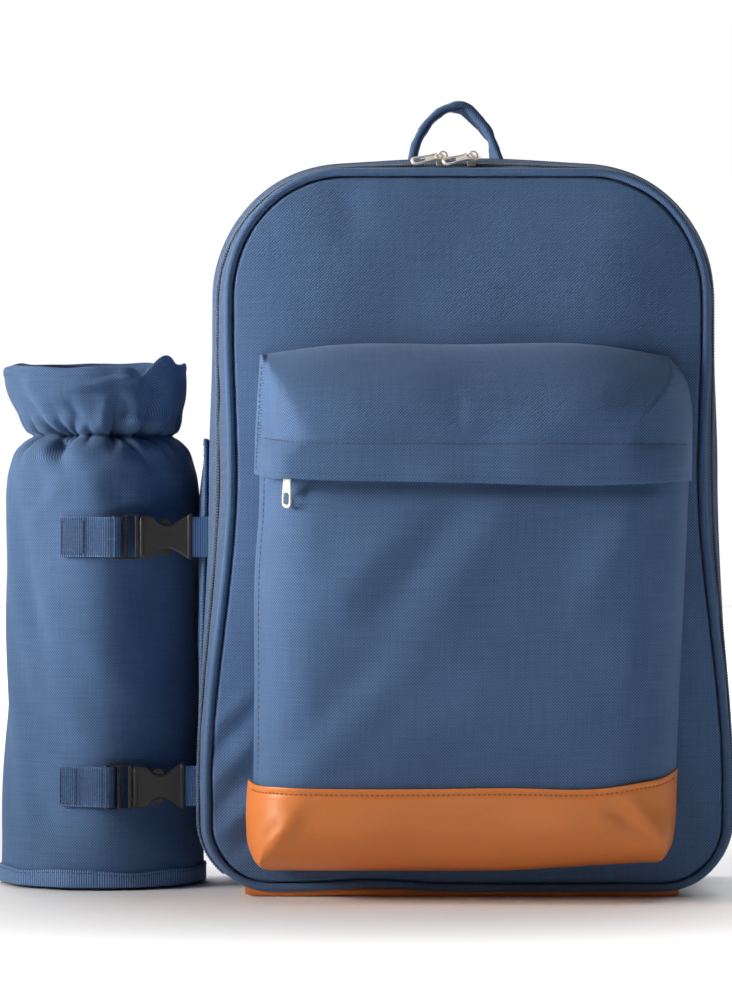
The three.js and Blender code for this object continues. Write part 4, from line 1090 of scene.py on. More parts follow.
def coil_teeth(name, path, normals, node):
    """A nylon coil: two rows of loops that lock in the middle, over a near-black strip of painted shade
    that stands in for the shade beneath them.
    """
    lengths = path_lengths(path)
    places = np.arange(COIL["pitch"], lengths[-1] - COIL["pitch"], COIL["pitch"])
    rows = []
    for side, offset in ((-1, 0.0), (1, COIL["pitch"] / 2)):
        even = at_lengths(path, lengths, places + offset)
        out = unit(at_lengths(normals, lengths, places + offset))
        across = np.cross(out, directions(even)) * side
        middle = even + across * COIL["aside"] + out * (COIL["high"] / 2 - COIL["sunk"])
        rows.append(tooth_mesh(middle, out, across))
    obj = mesh_object(name, *joined_parts(rows), coil_nylon, slot="trim")
    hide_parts(node)
    # Painted shade: a near-black strip under the teeth, in place of the shade between and beneath them.
    side = np.cross(normals, directions(path))
    wide = np.full(len(path), COIL["shade_band"])
    tube_object(f"{name}_bed", path, side, normals, wide, wide * 0.2, coil_shade_paint, "trim", sides=8)


def tooth_mesh(middle, out, across):
    """One rounded loop of a coil for each place: it lies across the zip."""
    along = np.cross(across, out)
    turns = 2 * np.pi * np.arange(STITCH_SIDES) / STITCH_SIDES
    points = []
    for step, girth in TOOTH_ROWS:
        for turn in turns:
            ring = along * (math.cos(turn) * COIL["wide"] / 2 * girth)
            ring = ring + out * (math.sin(turn) * COIL["high"] / 2 * girth)
            points.append(middle + across * (step * COIL["long"]) + ring)
    return copies(np.stack(points, axis=1), capped_faces(len(TOOTH_ROWS), STITCH_SIDES))


def zip_coil():
    grid = np.stack([ring_points(ring)[ZIP_FROM : ZIP_TO + 1] for ring in TAPE_RINGS])
    normals = grid_normals(grid, BAG_MIDDLE)
    coil_teeth("zip_coil_teeth", grid[2], normals[2], "zip_coil")


def lid_hinge():
    rings = [ring_points(ring) for ring in rings_between(TAPE_RINGS, TAPE_ROWS)]
    grid = np.stack([np.concatenate([p[ZIP_TO:], p[: ZIP_FROM + 1]]) for p in rings])
    grid[..., 0] *= 1 - 2 * GAP / grid[0, -1, 0]
    obj = sheet_object("lid_hinge_cloth", grid, cloth_grid(grid), canvas, BAG_MIDDLE, TAPE)
    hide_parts("lid_hinge")


def gusset():
    grid = np.stack([ring_points(ring) for ring in rings_between(GUSSET_RINGS, GUSSET_ROWS)])
    normals = grid_normals(grid, BAG_MIDDLE)
    place = cloth_grid(grid, wrap=True)
    x, y, z = np.moveaxis(grid, -1, 0)
    share = np.linspace(0, 1, GUSSET_ROWS)
    inside = smooth_step(0.1, 0.5, share) * smooth_step(1, 0.8, share)
    foot = smooth_step(*GUSSET_SLACK["foot"], z)
    side = smooth_step(*GUSSET_SLACK["side"], np.abs(x)) * foot
    hang = (uneven("gusset_sides", y * 0.8, z) - GUSSET_SLACK["side_hang"]) * side
    soft = hang + (uneven("gusset_top", x, y) - 1) * GUSSET_SLACK["top_hang"] * (1 - side) * foot
    grid = grid + normals * (soft * inside[:, None])[..., None]
    obj = sheet_object("gusset_cloth", grid, place, canvas, BAG_MIDDLE, wrap=True)
    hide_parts("gusset")


def base_rise(x):
    ring = GUSSET_RINGS[2]
    past = np.maximum(np.abs(x) - (ring["low"] - ring["low_bend"] + 2), 0)
    return 0.45 * (ring["low_bend"] - np.sqrt(ring["low_bend"] ** 2 - past**2))


def base_panel():
    """Leather under the bag. Its front and rear edges turn up against the bag."""
    turn = np.linspace(0, 0.75 * np.pi, 9)
    roll, rise = BASE_ROLL * (1 - np.sin(turn)), BASE_ROLL * (1 - np.cos(turn))
    front = np.stack([BASE["front"] + roll - BASE_ROLL, rise], axis=1)[::-1]
    rear = np.stack([BASE["rear"] - roll + BASE_ROLL, rise], axis=1)
    middle = np.stack([np.linspace(BASE["front"] + 1, BASE["rear"] - 1, 50), np.zeros(50)], axis=1)
    section = np.concatenate([front, middle, rear])
    xs = np.linspace(BASE["left"], BASE["right"], 140)
    near = 1 - smooth_step(BASE["front"], BASE["front"] + 16, section[:, :1])
    soft = uneven("base", xs[None]) * near + crease(xs[None]) * near * 0.25
    x = np.broadcast_to(xs, (len(section), len(xs)))
    y = np.broadcast_to(section[:, :1], x.shape)
    grid = np.stack([x, y, section[:, 1:] + base_rise(xs)[None] + np.maximum(soft, 0)], axis=-1)
    places = cloth_grid(grid)
    obj = sheet_object("base_leather", grid, places, tan_leather, BAG_MIDDLE, BASE_LEATHER, slot="leather")
    round_edge(obj, 0.6)
    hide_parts("base_panel")
    edge_x = np.linspace(BASE["left"] + 4, BASE["right"] - 4, 200)
    rows = []
    for edge_y in (BASE["front"] + BASE["seam"], BASE["rear"] - BASE["seam"]):
        path = np.stack([edge_x, np.full(200, edge_y), base_rise(edge_x)], axis=1)
        rows.append((path, np.tile(-UPWARD, (200, 1))))
    stitches("base_stitches", rows, tan_thread, "leather", pitch=2.8, length=2, width=0.5, lift=-0.3)


def round_edge(obj, size):
    edge = obj.modifiers.new("edge", "BEVEL")
    edge.width = size * MM
    edge.segments = 2
    edge.limit_method = "ANGLE"
    edge.angle_limit = math.radians(50)


# Padded pieces
def puff(obj, cap, pressure=4.0, voxel=5.0, frames=20, pinned=None):
    """Swells a closed mesh as stuffed cloth, and keeps each point within cap of where it was."""
    remesh = obj.modifiers.new("even", "REMESH")
    remesh.mode = "VOXEL"
    remesh.voxel_size = voxel * MM
    apply_modifier(obj, remesh.name)
    places = vertex_places(obj.data)
    swell = swollen(obj, pressure, frames) - places
    far = np.linalg.norm(swell, axis=1, keepdims=True)
    swell *= np.minimum(1, cap * MM / np.maximum(far, 1e-9))
    places = places + swell
    if pinned is not None:
        places = pinned(places / MM) * MM
    obj.data.vertices.foreach_set("co", places.ravel())
    obj.data.update()


def swollen(obj, pressure, frames):
    """Where a mesh's points come to lie when its cloth is blown up."""
    cloth = obj.modifiers.new("stuffing", "CLOTH")
    settings = cloth.settings
    settings.quality = 4
    settings.use_pressure = True
    settings.uniform_pressure_force = pressure
    settings.effector_weights.gravity = 0
    settings.tension_stiffness = 15
    settings.compression_stiffness = 15
    settings.bending_stiffness = 2.5
    cloth.collision_settings.use_collision = False
    cloth.point_cache.frame_start = 1
    cloth.point_cache.frame_end = frames
    scene = bpy.context.scene
    for step in range(1, frames + 1):
        scene.frame_set(step)
    places = vertex_places(obj.evaluated_get(bpy.context.evaluated_depsgraph_get()).data)
    obj.modifiers.remove(cloth)
    scene.frame_set(1)
    return places


def apply_modifier(obj, name):
    graph = bpy.context.evaluated_depsgraph_get()
    made = bpy.data.meshes.new_from_object(obj.evaluated_get(graph))
    obj.modifiers.remove(obj.modifiers[name])
    materials = list(obj.data.materials)
    obj.data = made
    made.materials.clear()
    for material in materials:
        made.materials.append(material)
    made.polygons.foreach_set("use_smooth", [True] * len(made.polygons))


def flat_threads(obj, first, second):
    """Places on the cloth straight from two of the axes, for a mesh that was made anew."""
    mesh = obj.data
    if "threads" in mesh.attributes:
        mesh.attributes.remove(mesh.attributes["threads"])
    co = vertex_places(mesh) / MM
    layer = mesh.attributes.new("threads", "FLOAT_VECTOR", "POINT")
    places = np.stack([co[:, first], co[:, second], np.zeros(len(co))], axis=1)
    layer.data.foreach_set("vector", places.astype(np.float32).ravel())


def subdivide(obj):
    subdivision = obj.modifiers.new("smooth", "SUBSURF")
    subdivision.levels = 1
    subdivision.render_levels = 1


def back_panel():
    x, z, _ = panel_points(GUSSET_RINGS[-1], CLOTH + GAP, 26)
    outer, inner = (np.stack([x, back_y(x, z) - depth, z], axis=-1) for depth in BACK_PAD)
    rows, columns = outer.shape[:2]
    points = np.concatenate([outer.reshape(-1, 3), inner.reshape(-1, 3)])
    front = grid_faces(rows, columns, True)
    shift = rows * columns
    j = np.arange(columns)
    rim = np.stack([j, (j + 1) % columns, (j + 1) % columns + shift, j + shift], axis=1)
    hub = [[(rows - 1) * columns + k for k in range(columns)]]
    faces = [list(f) for f in front] + [list(f[::-1] + shift) for f in front] + [list(f[::-1]) for f in rim]
    faces += hub + [[k + shift for k in hub[0]][::-1]]
    obj = mesh_object("back_pad", points, faces, canvas, slot="cloth")
    outward(obj)
    puff(obj, cap=4, pinned=back_channels)
    flat_threads(obj, 0, 2)
    subdivide(obj)
    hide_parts("back_panel")


def back_binding():
    """The rolled seam between the gusset and the back."""
    x, z = outline(GUSSET_RINGS[-1], BINDING["inset"])
    path = np.stack([x, np.full(len(x), BINDING["y"]), z], axis=1)
    away = np.broadcast_to(BACKWARD, path.shape)
    out = unit(np.cross(directions(path, loop=True), away))
    size = 1 + uneven("binding", np.arange(len(path)))
    wide, thick = BINDING["wide"] * size, BINDING["thick"] * size
    tube_object("back_binding", path, out, away, wide, thick, trim_cloth, "trim", power=0.9, loop=True)


def back_channels(points):
    """Presses two sewn channels into the back's outer face."""
    c = BACK_CHANNELS
    outside = smooth_step(*c["outer"], points[:, 1])
    ends = 1 - smooth_step(*c["reach"], np.abs(points[:, 2] - c["middle"]))
    for x in (-c["x"], c["x"]):
        points[:, 1] -= c["depth"] * (bell(points[:, 0], x, c["half"]) * ends) * outside
    return points


def laid_on(obj, path, normals, reach=12):
    """Moves each place of a path along its normal onto the surface of a piece."""
    tree = BVHTree.FromObject(obj, bpy.context.evaluated_depsgraph_get())
    placed = []
    for place, normal in zip(path, normals):
        way = Vector(normal)
        hit = tree.ray_cast((Vector(place) + way * reach) * MM, -way)[0]
        placed.append(place if hit is None else np.array(hit) / MM)
    return np.array(placed)


def shoulder_strap(name, side):
    knots = np.arange(len(SHOULDER_ROWS["x"]))
    place = np.linspace(0, len(knots) - 1, 90)
    x, y, z, wide, thick = (curve(knots, SHOULDER_ROWS[c], place) for c in ("x", "y", "z", "wide", "thick"))
    path = np.stack([side * x, y, z], axis=1)
    along = directions(path)
    wide_way = unit(np.cross(along, BACKWARD))
    thick_way = unit(np.cross(wide_way, along))
    obj = tube_object(
        f"shoulder_pad_{name}", path, wide_way, thick_way, wide - 2, thick - 2.5, canvas, "cloth",
        sides=28, power=0.5,
    )
    puff(obj, cap=2.2, voxel=4)
    flat_threads(obj, 0, 2)
    subdivide(obj)
    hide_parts(f"shoulder_strap_{name}")
    edges = []
    for edge in (-1, 1):
        row = path + wide_way * (edge * (wide / 2 - 6))[:, None]
        for face in (-1, 1):
            edges.append((laid_on(obj, row, thick_way * face), thick_way * face))
    stitches(
        f"shoulder_stitches_{name}", edges, blue_thread, "cloth", pitch=3.6, length=2.7, width=0.6, lift=0
    )


# Webbing
def ribbon(name, path, across, width, node):
    """A strip of webbing with ribs across it. path has fine even steps, and across is its broad way."""
    lengths = path_lengths(path)
    shares = np.array([-0.5, -0.485, -0.44, -0.2, 0, 0.2, 0.44, 0.485, 0.5])
    out = unit(np.cross(directions(path), across))
    rib = RIB_HEIGHT * np.cos(2 * np.pi * lengths / RIB_PITCH)
    rows = []
    for share in shares:
        sink = 0.35 * smooth_step(0.43, 0.5, abs(share))
        rows.append(path + across * (share * width) + out * (rib * (1 - 2 * sink) - sink)[:, None])
    places = np.stack(np.broadcast_arrays(lengths[None], (shares * width)[:, None]), axis=-1)
    inside = path.mean(axis=0) - out[len(out) // 2] * 500
    obj = sheet_object(name, np.stack(rows), places, webbing, inside, WEBBING - 0.2, slot="trim")
    obj.modifiers["wall"].offset = 0
    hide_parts(node)


def pouch_radius(z):
    return look_up(POUCH_ROWS, "z", z, "radius")


def bar_reach(strap):
    """How far a buckle's bar lies from the pouch's middle."""
    return pouch_radius(strap["z"]) + GAP + LOOP_INNER + WEBBING + 0.1


def bar_place(strap):
    x = strap["bar_x"]
    return x, POUCH_Y - math.sqrt(bar_reach(strap) ** 2 - (x - POUCH_X) ** 2)


def round_pouch(radius, turn):
    return np.stack([POUCH_X + radius * np.sin(turn), POUCH_Y - radius * np.cos(turn)], axis=-1)


def pouch_strap(strap):
    """Webbing sewn on the pouch, looped round the buckle's bar and sewn down again."""
    bar = np.array(bar_place(strap))
    inner = float(pouch_radius(strap["z"])) + GAP
    bar_turn = math.asin((bar[0] - POUCH_X) / bar_reach(strap))
    start = math.radians(SEWN_FROM)
    turns = np.linspace(start, bar_turn, 8)
    under = round_pouch(inner + pouch_square(turns) + WEBBING / 2, turns)
    turns = np.linspace(bar_turn - 0.24, start, 7)
    over = round_pouch(inner + pouch_square(turns) + WEBBING * 1.5, turns)
    out = np.array([math.sin(bar_turn), -math.cos(bar_turn)])
    ahead = np.array([math.cos(bar_turn), math.sin(bar_turn)])
    size = LOOP_INNER + WEBBING / 2
    turns = np.radians([-50, -10, 30, 65, 95, 120])
    loop = np.stack([bar + (ahead * math.cos(t) + out * math.sin(t)) * size for t in turns])
    down = np.stack([bar - ahead * 5.5 + out * 1.6])
    plan = np.concatenate([under, loop, down, over])
    path, _ = resample(np.column_stack([plan, np.full(len(plan), strap["z"])]), RIB_PITCH / 6)
    name = strap["name"]
    ribbon(f"pouch_webbing_{name}", path, UPWARD, WEB_WIDTH, f"pouch_strap_{name}")
    turns = np.linspace(start + 0.02, bar_turn - 0.3, 30)
    sewn = round_pouch(inner + pouch_square(turns) + 2 * WEBBING + 0.1, turns)
    edge = WEB_WIDTH / 2 - WEB_SEAM
    paths = [np.column_stack([sewn, np.full(len(sewn), strap["z"] + rise)]) for rise in (-edge, edge)]
    tall = strap["z"] + np.linspace(-edge, edge, 20)
    paths += [np.column_stack([np.tile(sewn[end], (20, 1)), tall]) for end in (0, -1)]
    rows = [(path, pouch_normals(path)) for path in paths]
    stitches(f"pouch_strap_stitches_{name}", rows, blue_thread, "trim", pitch=2.6, length=1.9, width=0.6)


def pouch_normals(path):
    away = path - np.array([POUCH_X, POUCH_Y, 0])
    away[:, 2] = 0
    return unit(away)


def buckle_frame(strap):
    turn = math.radians(strap["turn"])
    along = Vector((math.cos(turn), math.sin(turn), 0))
    up = Vector(UPWARD)
    start = Vector((*bar_place(strap), strap["z"])) - along * (BUCKLE["bar"] / 2)
    return basis(along, up, along.cross(up), start)


def bag_strap(strap):
    matrix = buckle_frame(strap)
    start = matrix @ Vector((BUCKLE["web_slot"] + 0.4, 0, 0))
    end = matrix @ Vector((BUCKLE["length"] + 2, 0, 0))
    wall = -strap["wall_x"] - WEBBING - GAP
    sewn = Vector((wall + STRAP_SEWN, end.y + 0.6, strap["z"]))
    path, _ = resample([tuple(p) for p in (start, end, (end + sewn) / 2, sewn)], RIB_PITCH / 6)
    name = strap["name"]
    ribbon(f"bag_webbing_{name}", path, UPWARD, WEB_WIDTH, f"bag_strap_{name}")


def strap_webbing(name, side):
    path, _ = resample([(side * x, y + WEBBING / 2, z) for x, y, z in LOW_WEB_PATH], RIB_PITCH / 5)
    across = unit(np.cross(directions(path), BACKWARD))
    ribbon(f"low_webbing_{name}", path, across, LOW_WEB_WIDE, f"strap_webbing_{name}")


# Flat moulded and cut pieces: an outline with holes, with rounded edges
def plate_mesh(outline_points, thick, edge, holes=()):
    """Points and faces of a plate in its own plane, centred on it."""
    shape = bpy.data.curves.new("plate", "CURVE")
    shape.dimensions = "2D"
    shape.fill_mode = "BOTH"
    shape.extrude = (thick / 2 - edge) * MM
    shape.bevel_depth = edge * MM
    shape.bevel_resolution = 2
    shape.offset = -edge * MM
    for ring in (outline_points, *holes):
        spline = shape.splines.new("POLY")
        spline.points.add(len(ring) - 1)
        for point, (x, y) in zip(spline.points, ring):
            point.co = (x * MM, y * MM, 0, 1)
        spline.use_cyclic_u = True
    obj = bpy.data.objects.new("plate", shape)
    bpy.context.scene.collection.objects.link(obj)
    graph = bpy.context.evaluated_depsgraph_get()
    mesh = bpy.data.meshes.new_from_object(obj.evaluated_get(graph))
    points = vertex_places(mesh) / MM
    faces = [list(p.vertices) for p in mesh.polygons]
    bpy.data.objects.remove(obj)
    bpy.data.curves.remove(shape)
    bpy.data.meshes.remove(mesh)
    return points, faces


def rounded(corners, radius, steps=4):
    """Corner points with each corner rounded off."""
    corners = np.asarray(corners, float)
    made = []
    for k, corner in enumerate(corners):
        before, after = corners[k - 1] - corner, corners[(k + 1) % len(corners)] - corner
        reach = min(radius, np.linalg.norm(before) / 2.2, np.linalg.norm(after) / 2.2)
        p, q = corner + unit(before) * reach, corner + unit(after) * reach
        for t in np.linspace(0, 1, steps + 1):
            made.append((1 - t) ** 2 * p + 2 * t * (1 - t) * corner + t * t * q)
    return made


def joined(name, parts, matrix, material, slot, body, node):
    """One piece from several sets of points and faces, moved by a frame."""
    points, faces = joined_parts(parts)
    points = points @ np.array(matrix.to_3x3()).T + np.array(matrix.translation)
    obj = mesh_object(name, points, faces, material, body=body, slot=slot)
    obj.data.set_sharp_from_angle(angle=SHARP_ANGLE)
    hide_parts(node)


def box_ring(x0, x1, half):
    return [(x0, -half), (x1, -half), (x1, half), (x0, half)]


def moved(part, x=0.0, y=0.0, z=0.0):
    return part[0] + np.array([x, y, z]), part[1]


def buckle_male(strap):
    b = BUCKLE
    inside = b["half"] - b["rail"]
    slot_end = b["bar"] + b["slot"]
    second = slot_end + b["ridge"]
    slots = [(b["bar"], slot_end), (second, second + b["slot"])]
    holes = [rounded(box_ring(*ends, inside), 0.8) for ends in slots]
    frame_ring = rounded(box_ring(0, b["male"] - 0.3, b["half"]), 1.6)
    parts = [plate_mesh(frame_ring, b["male_thick"], 0.6, holes)]
    end = b["cavity_end"]
    arm = [
        (b["male"] - 1, b["arm_in"]), (end - 5, b["arm_in"]), (end - 2, b["arm_in"] + 1),
        (end - 2.4, b["arm_out"] - 0.6), (end - 4, b["button"]), (end - 7, b["button"]),
        (end - 9, b["arm_out"]), (b["male"] - 1, b["arm_out"]),
    ]
    for side in (1, -1):
        ring = [(x, side * y) for x, y in arm]
        parts.append(plate_mesh(rounded(ring[::side], 0.8), b["male_thick"] - 0.2, 0.5))
    tooth = plate_mesh(rounded(box_ring(slot_end + 0.2, second - 0.2, 0.42), 0.2), 1.0, 0.2)
    for y in np.arange(-inside + 1, inside - 0.5, 1.35):
        parts.append(moved(tooth, y=y, z=b["male_thick"] / 2))
    name = strap["name"]
    matrix = buckle_frame(strap)
    joined(f"buckle_frame_{name}", parts, matrix, plastic, "plastic", "bag", f"buckle_male_{name}")


def buckle_female(strap):
    start, length, thick = BUCKLE["male"], BUCKLE["length"], BUCKLE["female_thick"]
    edge = [
        (start, 11.2), (start + 4.6, 11.9), (start + 8, 11.2), (start + 9.6, 9.4), (start + 12, 7),
        (start + 15.4, 6.3), (start + 19, 7.4), (length - 5.4, 10), (length - 2, 12.3), (length, 12.8),
    ]
    ring = [(x, -y) for x, y in edge] + [(x, y) for x, y in edge[::-1]]
    shell = plate_mesh(rounded(ring, 2.2), thick, 1.1)
    collar = plate_mesh(rounded(box_ring(start + 0.2, start + 2.2, 10.6), 0.8), thick + 0.7, 0.4)
    lip = plate_mesh(rounded(box_ring(length - 2.6, length - 0.5, 12.2), 0.8), thick + 0.5, 0.4)
    name = strap["name"]
    parts, matrix = [shell, collar, lip], buckle_frame(strap)
    joined(f"buckle_shell_{name}", parts, matrix, plastic, "plastic", "bag", f"buckle_female_{name}")


# The front panel's pocket
def rounded_rise(depth, *distances, power=POCKET_ROUND, soft=0.004):
    """How far a pocket stands out, from its distances to its edges. soft rounds the folds between them."""
    distances = np.stack(np.broadcast_arrays(*distances))
    nearest = distances.min(axis=0)
    soft = soft * np.clip(2.5 * nearest, 0.1, 1)
    nearest = nearest - soft * np.log(np.exp((nearest - distances) / soft).sum(axis=0))
    share = np.clip(nearest, 0, 1)
    return depth * (1 - (1 - share) ** power) ** (1 / power)


def pocket_points(x, z, rise):
    return np.stack([x, panel_y(x, z) - CLOTH / 2 - POCKET_SEAT - rise, z], axis=-1)


def pocket_middle(z):
    """A place inside the pocket, at a height."""
    return (0, FRONT_Y - 10, z)


def across_shares(steps):
    return 0.5 - 0.5 * np.cos(np.pi * np.arange(steps + 1) / steps)


def body_rise(x, z):
    left = (x - look_up(BODY_SIDES, "z", z, "left")) / BODY_EDGE
    right = (look_up(BODY_SIDES, "z", z, "right") - x) / BODY_EDGE
    return rounded_rise(look_up(BODY_DEPTH, "z", z, "depth"), left, right)


def pocket_body():
    z, share = np.meshgrid(np.linspace(BODY_FOOT, BODY_HEAD, 110), across_shares(150), indexing="ij")
    left, right = (look_up(BODY_SIDES, "z", z, side) for side in ("left", "right"))
    x = left + (right - left) * share
    rise = body_rise(x, z)
    soft = folds(x, z, BODY_FOLDS) + uneven("pocket", x, z)
    edge = smooth_step(*BODY_SPANS["edge"], np.minimum(x - left, right - x))
    low = smooth_step(*BODY_SPANS["low"], z)
    high = 1 - smooth_step(*BODY_SPANS["high"], z)
    seam = x - left
    ridge = BODY_SEAM["high"] * bell(seam, BODY_SEAM["ridge"], 0.8)
    ridge = ridge - BODY_SEAM["high"] * bell(seam, BODY_SEAM["groove"], 1.1)
    ridge = ridge * (1 + uneven("pocket_seam", z))
    tuck = BODY_TUCK * smooth_step(*BODY_SPANS["tuck"], z) * edge
    rise = np.maximum(rise + BODY_SLACK * soft * edge * low * high + ridge * (x < 0) - tuck, 0)
    grid = pocket_points(x, z, rise)
    inside = pocket_middle(130)
    obj = sheet_object("pocket_body_cloth", grid, cloth_grid(grid), canvas, inside)
    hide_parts("pocket_body")
    seam_row = (grid[12:, 11], grid_normals(grid, inside)[12:, 11])
    stitches("pocket_stitches", [seam_row], blue_thread, "cloth", pitch=3.3, length=2.3, width=0.6)


def hood_line(x):
    """Height of the stitched line above the flap."""
    return HOOD_LINE["z"] + HOOD_LINE["rise"] * np.exp(-(x - HOOD_LEFT) / HOOD_LINE["reach"])


def hood_grid(up, share):
    """Places of the hood: up from its hem to its top, share from left to right."""
    nominal = HOOD_FOOT + HOOD_TALL * up
    left, right = (look_up(HOOD_SIDES, "z", nominal, side) for side in ("left", "right"))
    x = left + (right - left) * share
    top = look_up(HOOD_TOP, "x", x, "z")
    hem = look_up(HOOD_HEM, "x", x, "z")
    z = hem + (top - hem) * up
    depth = look_up(HOOD_DEPTH, "z", z, "depth")
    from_left, from_right, from_top = x - left, right - x, top - z
    low = 1 - smooth_step(*HOOD_SPANS["flap"], z)
    left_edge = HOOD_LEFT_EDGE + (HOOD_FLAP_EDGE - HOOD_LEFT_EDGE) * low
    edges = (from_left / left_edge, from_right / HOOD_EDGE, from_top / TOP_EDGE)
    square = np.where(x < 0, low, 1 - smooth_step(*HOOD_SPANS["right"], z))
    power = HOOD_ROUND + (POCKET_ROUND - HOOD_ROUND) * square
    rise = rounded_rise(depth, *edges, power=power, soft=np.where(x < 0, *HOOD_SOFT))
    edge = smooth_step(0, 22, np.minimum(from_left, from_right)) * smooth_step(0, 18, from_top)
    soft = folds(x, z, HOOD_FOLDS) + uneven("hood", x, z)
    line = hood_line(x)
    seam = -0.9 * bell(z, line, 1.1) + 0.5 * (1 - smooth_step(-2, 2, z - line))
    wave = uneven("hood_hem", x) * (1 - smooth_step(*HOOD_SPANS["hem"], z))
    rise = rise + soft * edge * smooth_step(*HOOD_SPANS["soft"], z) + (seam + wave) * edge
    welt = 1.5 * bell(from_left, 1.6, 1.0) - 1.0 * bell(from_left, 4, 1.2)
    welt = welt * (1 + uneven("hood_welt", z))
    ear = 1.6 * np.exp(-((from_left - 2) ** 2 + (from_top - 2) ** 2) / 14)
    return pocket_points(x, z, np.maximum(rise + welt + ear, 0)), x, z


def pocket_hood():
    raw = np.linspace(0, 1, 96)
    grid, _, _ = hood_grid(*np.meshgrid(1 - (1 - raw) ** 1.6, across_shares(150), indexing="ij"))
    inside = pocket_middle(240)
    places = cloth_grid(grid) * np.array([1, -1])
    obj = sheet_object("pocket_hood_cloth", grid, places, canvas, inside)
    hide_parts("pocket_hood")
    share = np.linspace(0.02, 0.98, 200)
    up = (hood_line(HOOD_LEFT + HOOD_WIDE * share) - HOOD_FOOT) / HOOD_TALL
    for _ in range(3):
        _, x, z = hood_grid(up, share)
        up = up + (hood_line(x) - z) / HOOD_TALL
    line = surface_row(lambda step: hood_grid(up + step, share)[0], inside)
    side = surface_row(lambda step: hood_grid(np.linspace(0.04, 0.93, 80), 0.0075 + step)[0], inside)
    hem = surface_row(lambda step: hood_grid(0.045 + step + share * 0, share)[0], inside)
    stitches("hood_stitches", [line, side], blue_thread, "cloth", pitch=3.1, length=2.2, width=0.62)
    stitches("hem_stitches", [hem], blue_thread, "cloth", pitch=3.1, length=2.2, width=0.5, lift=-0.1)


def surface_row(places, inside):
    """A row of points on a surface with their normals, from a function that steps to the next row."""
    row, next_row = places(0.0), places(0.004)
    out = unit(np.cross(np.gradient(row, axis=0), next_row - row))
    return row, out * np.sign(np.sum(out * (row - np.asarray(inside, float))))


def leather_grid(up, share):
    """Places of the leather band: up from its foot to its top edge, share from left to right."""
    nominal = POCKET_FOOT + (LEATHER_HEAD - POCKET_FOOT) * up
    left, right = (look_up(LEATHER_SIDES, "z", nominal, side) for side in ("left", "right"))
    x = left + (right - left) * share
    top = look_up(LEATHER_TOP, "x", x, "z")
    foot = POCKET_FOOT + LEATHER_LIFT * smooth_step(*LEATHER_SPANS["lift"], x)
    z = foot + (top - foot) * up
    depth = look_up(BODY_DEPTH, "z", z, "depth") + LEATHER_PROUD
    side = LEATHER_EDGE + (BODY_EDGE - LEATHER_EDGE) * smooth_step(*LEATHER_SPANS["side"], z)
    from_left, from_right, from_foot = x - left, right - x, z - foot
    rise = rounded_rise(depth, from_left / side, from_right / side, from_foot / LEATHER_FOOT)
    edge = smooth_step(*LEATHER_SPANS["edge"], np.minimum(from_left, from_right))
    edge = edge * smooth_step(*LEATHER_SPANS["foot"], from_foot)
    soft = uneven("leather", x, z) * edge + folds(x, z, LEATHER_FOLDS)
    below = top - z
    groove = -0.5 * bell(below, LEATHER_SEAM, 0.9) + 0.45 * bell(below, 1.1, 1.3)
    ear = 1.6 * np.exp(-((from_left - 3) ** 2 + (from_foot - 4) ** 2) / 12)
    rise = rise + soft * (1 - smooth_step(*LEATHER_SPANS["top"], z - top)) + groove + ear
    return pocket_points(x, z, np.maximum(rise, 0)), top


def pocket_leather():
    up = np.linspace(0, 1, 70) ** 1.3
    grid, _ = leather_grid(*np.meshgrid(up, across_shares(150), indexing="ij"))
    inside = pocket_middle(50)
    places = cloth_grid(grid)
    obj = sheet_object("pocket_leather_band", grid, places, tan_leather, inside, LEATHER, slot="leather")
    round_edge(obj, 0.5)
    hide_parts("pocket_leather")
    share = np.linspace(0.012, 0.988, 220)
    top = leather_grid(share * 0 + 1, share)[1]
    seam = 1 - LEATHER_SEAM / (top - POCKET_FOOT)
    line = surface_row(lambda step: leather_grid(seam + step, share)[0], inside)
    stitches("leather_stitches", [line], tan_thread, "leather", pitch=2.7, length=1.8, width=0.95)


def pocket_zip_points(x, z):
    lean = ZIP_LEAN * (z - ZIP_LOW) / (ZIP_HIGH - ZIP_LOW)
    return pocket_points(x, z, body_rise(x, np.minimum(z, BODY_HEAD)) + 2.5 * GAP + TAPE + lean)


def pocket_zip():
    across = ZIP_LEFT + (ZIP_RIGHT - ZIP_LEFT) * across_shares(90)
    z, x = np.meshgrid(np.linspace(ZIP_LOW, ZIP_HIGH, 9), across, indexing="ij")
    grid = pocket_zip_points(x, z)
    inside = pocket_middle(130)
    obj = sheet_object("pocket_zip_cloth", grid, cloth_grid(grid), zip_cloth, inside, TAPE, slot="trim")
    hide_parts("pocket_zip")
    heights = [ZIP_LINE - 2, ZIP_LINE, ZIP_LINE + 2]
    z, x = np.meshgrid(heights, np.linspace(ZIP_LEFT, ZIP_RIGHT, 160), indexing="ij")
    line = pocket_zip_points(x, z)
    coil_teeth("pocket_coil_teeth", line[1], grid_normals(line, inside)[1], "pocket_coil")


# The bottle pouch
def turned_by(turn, degrees):
    """How far round a place lies from a direction, in radians from -pi to pi."""
    return (turn - np.radians(degrees) + np.pi) % (2 * np.pi) - np.pi


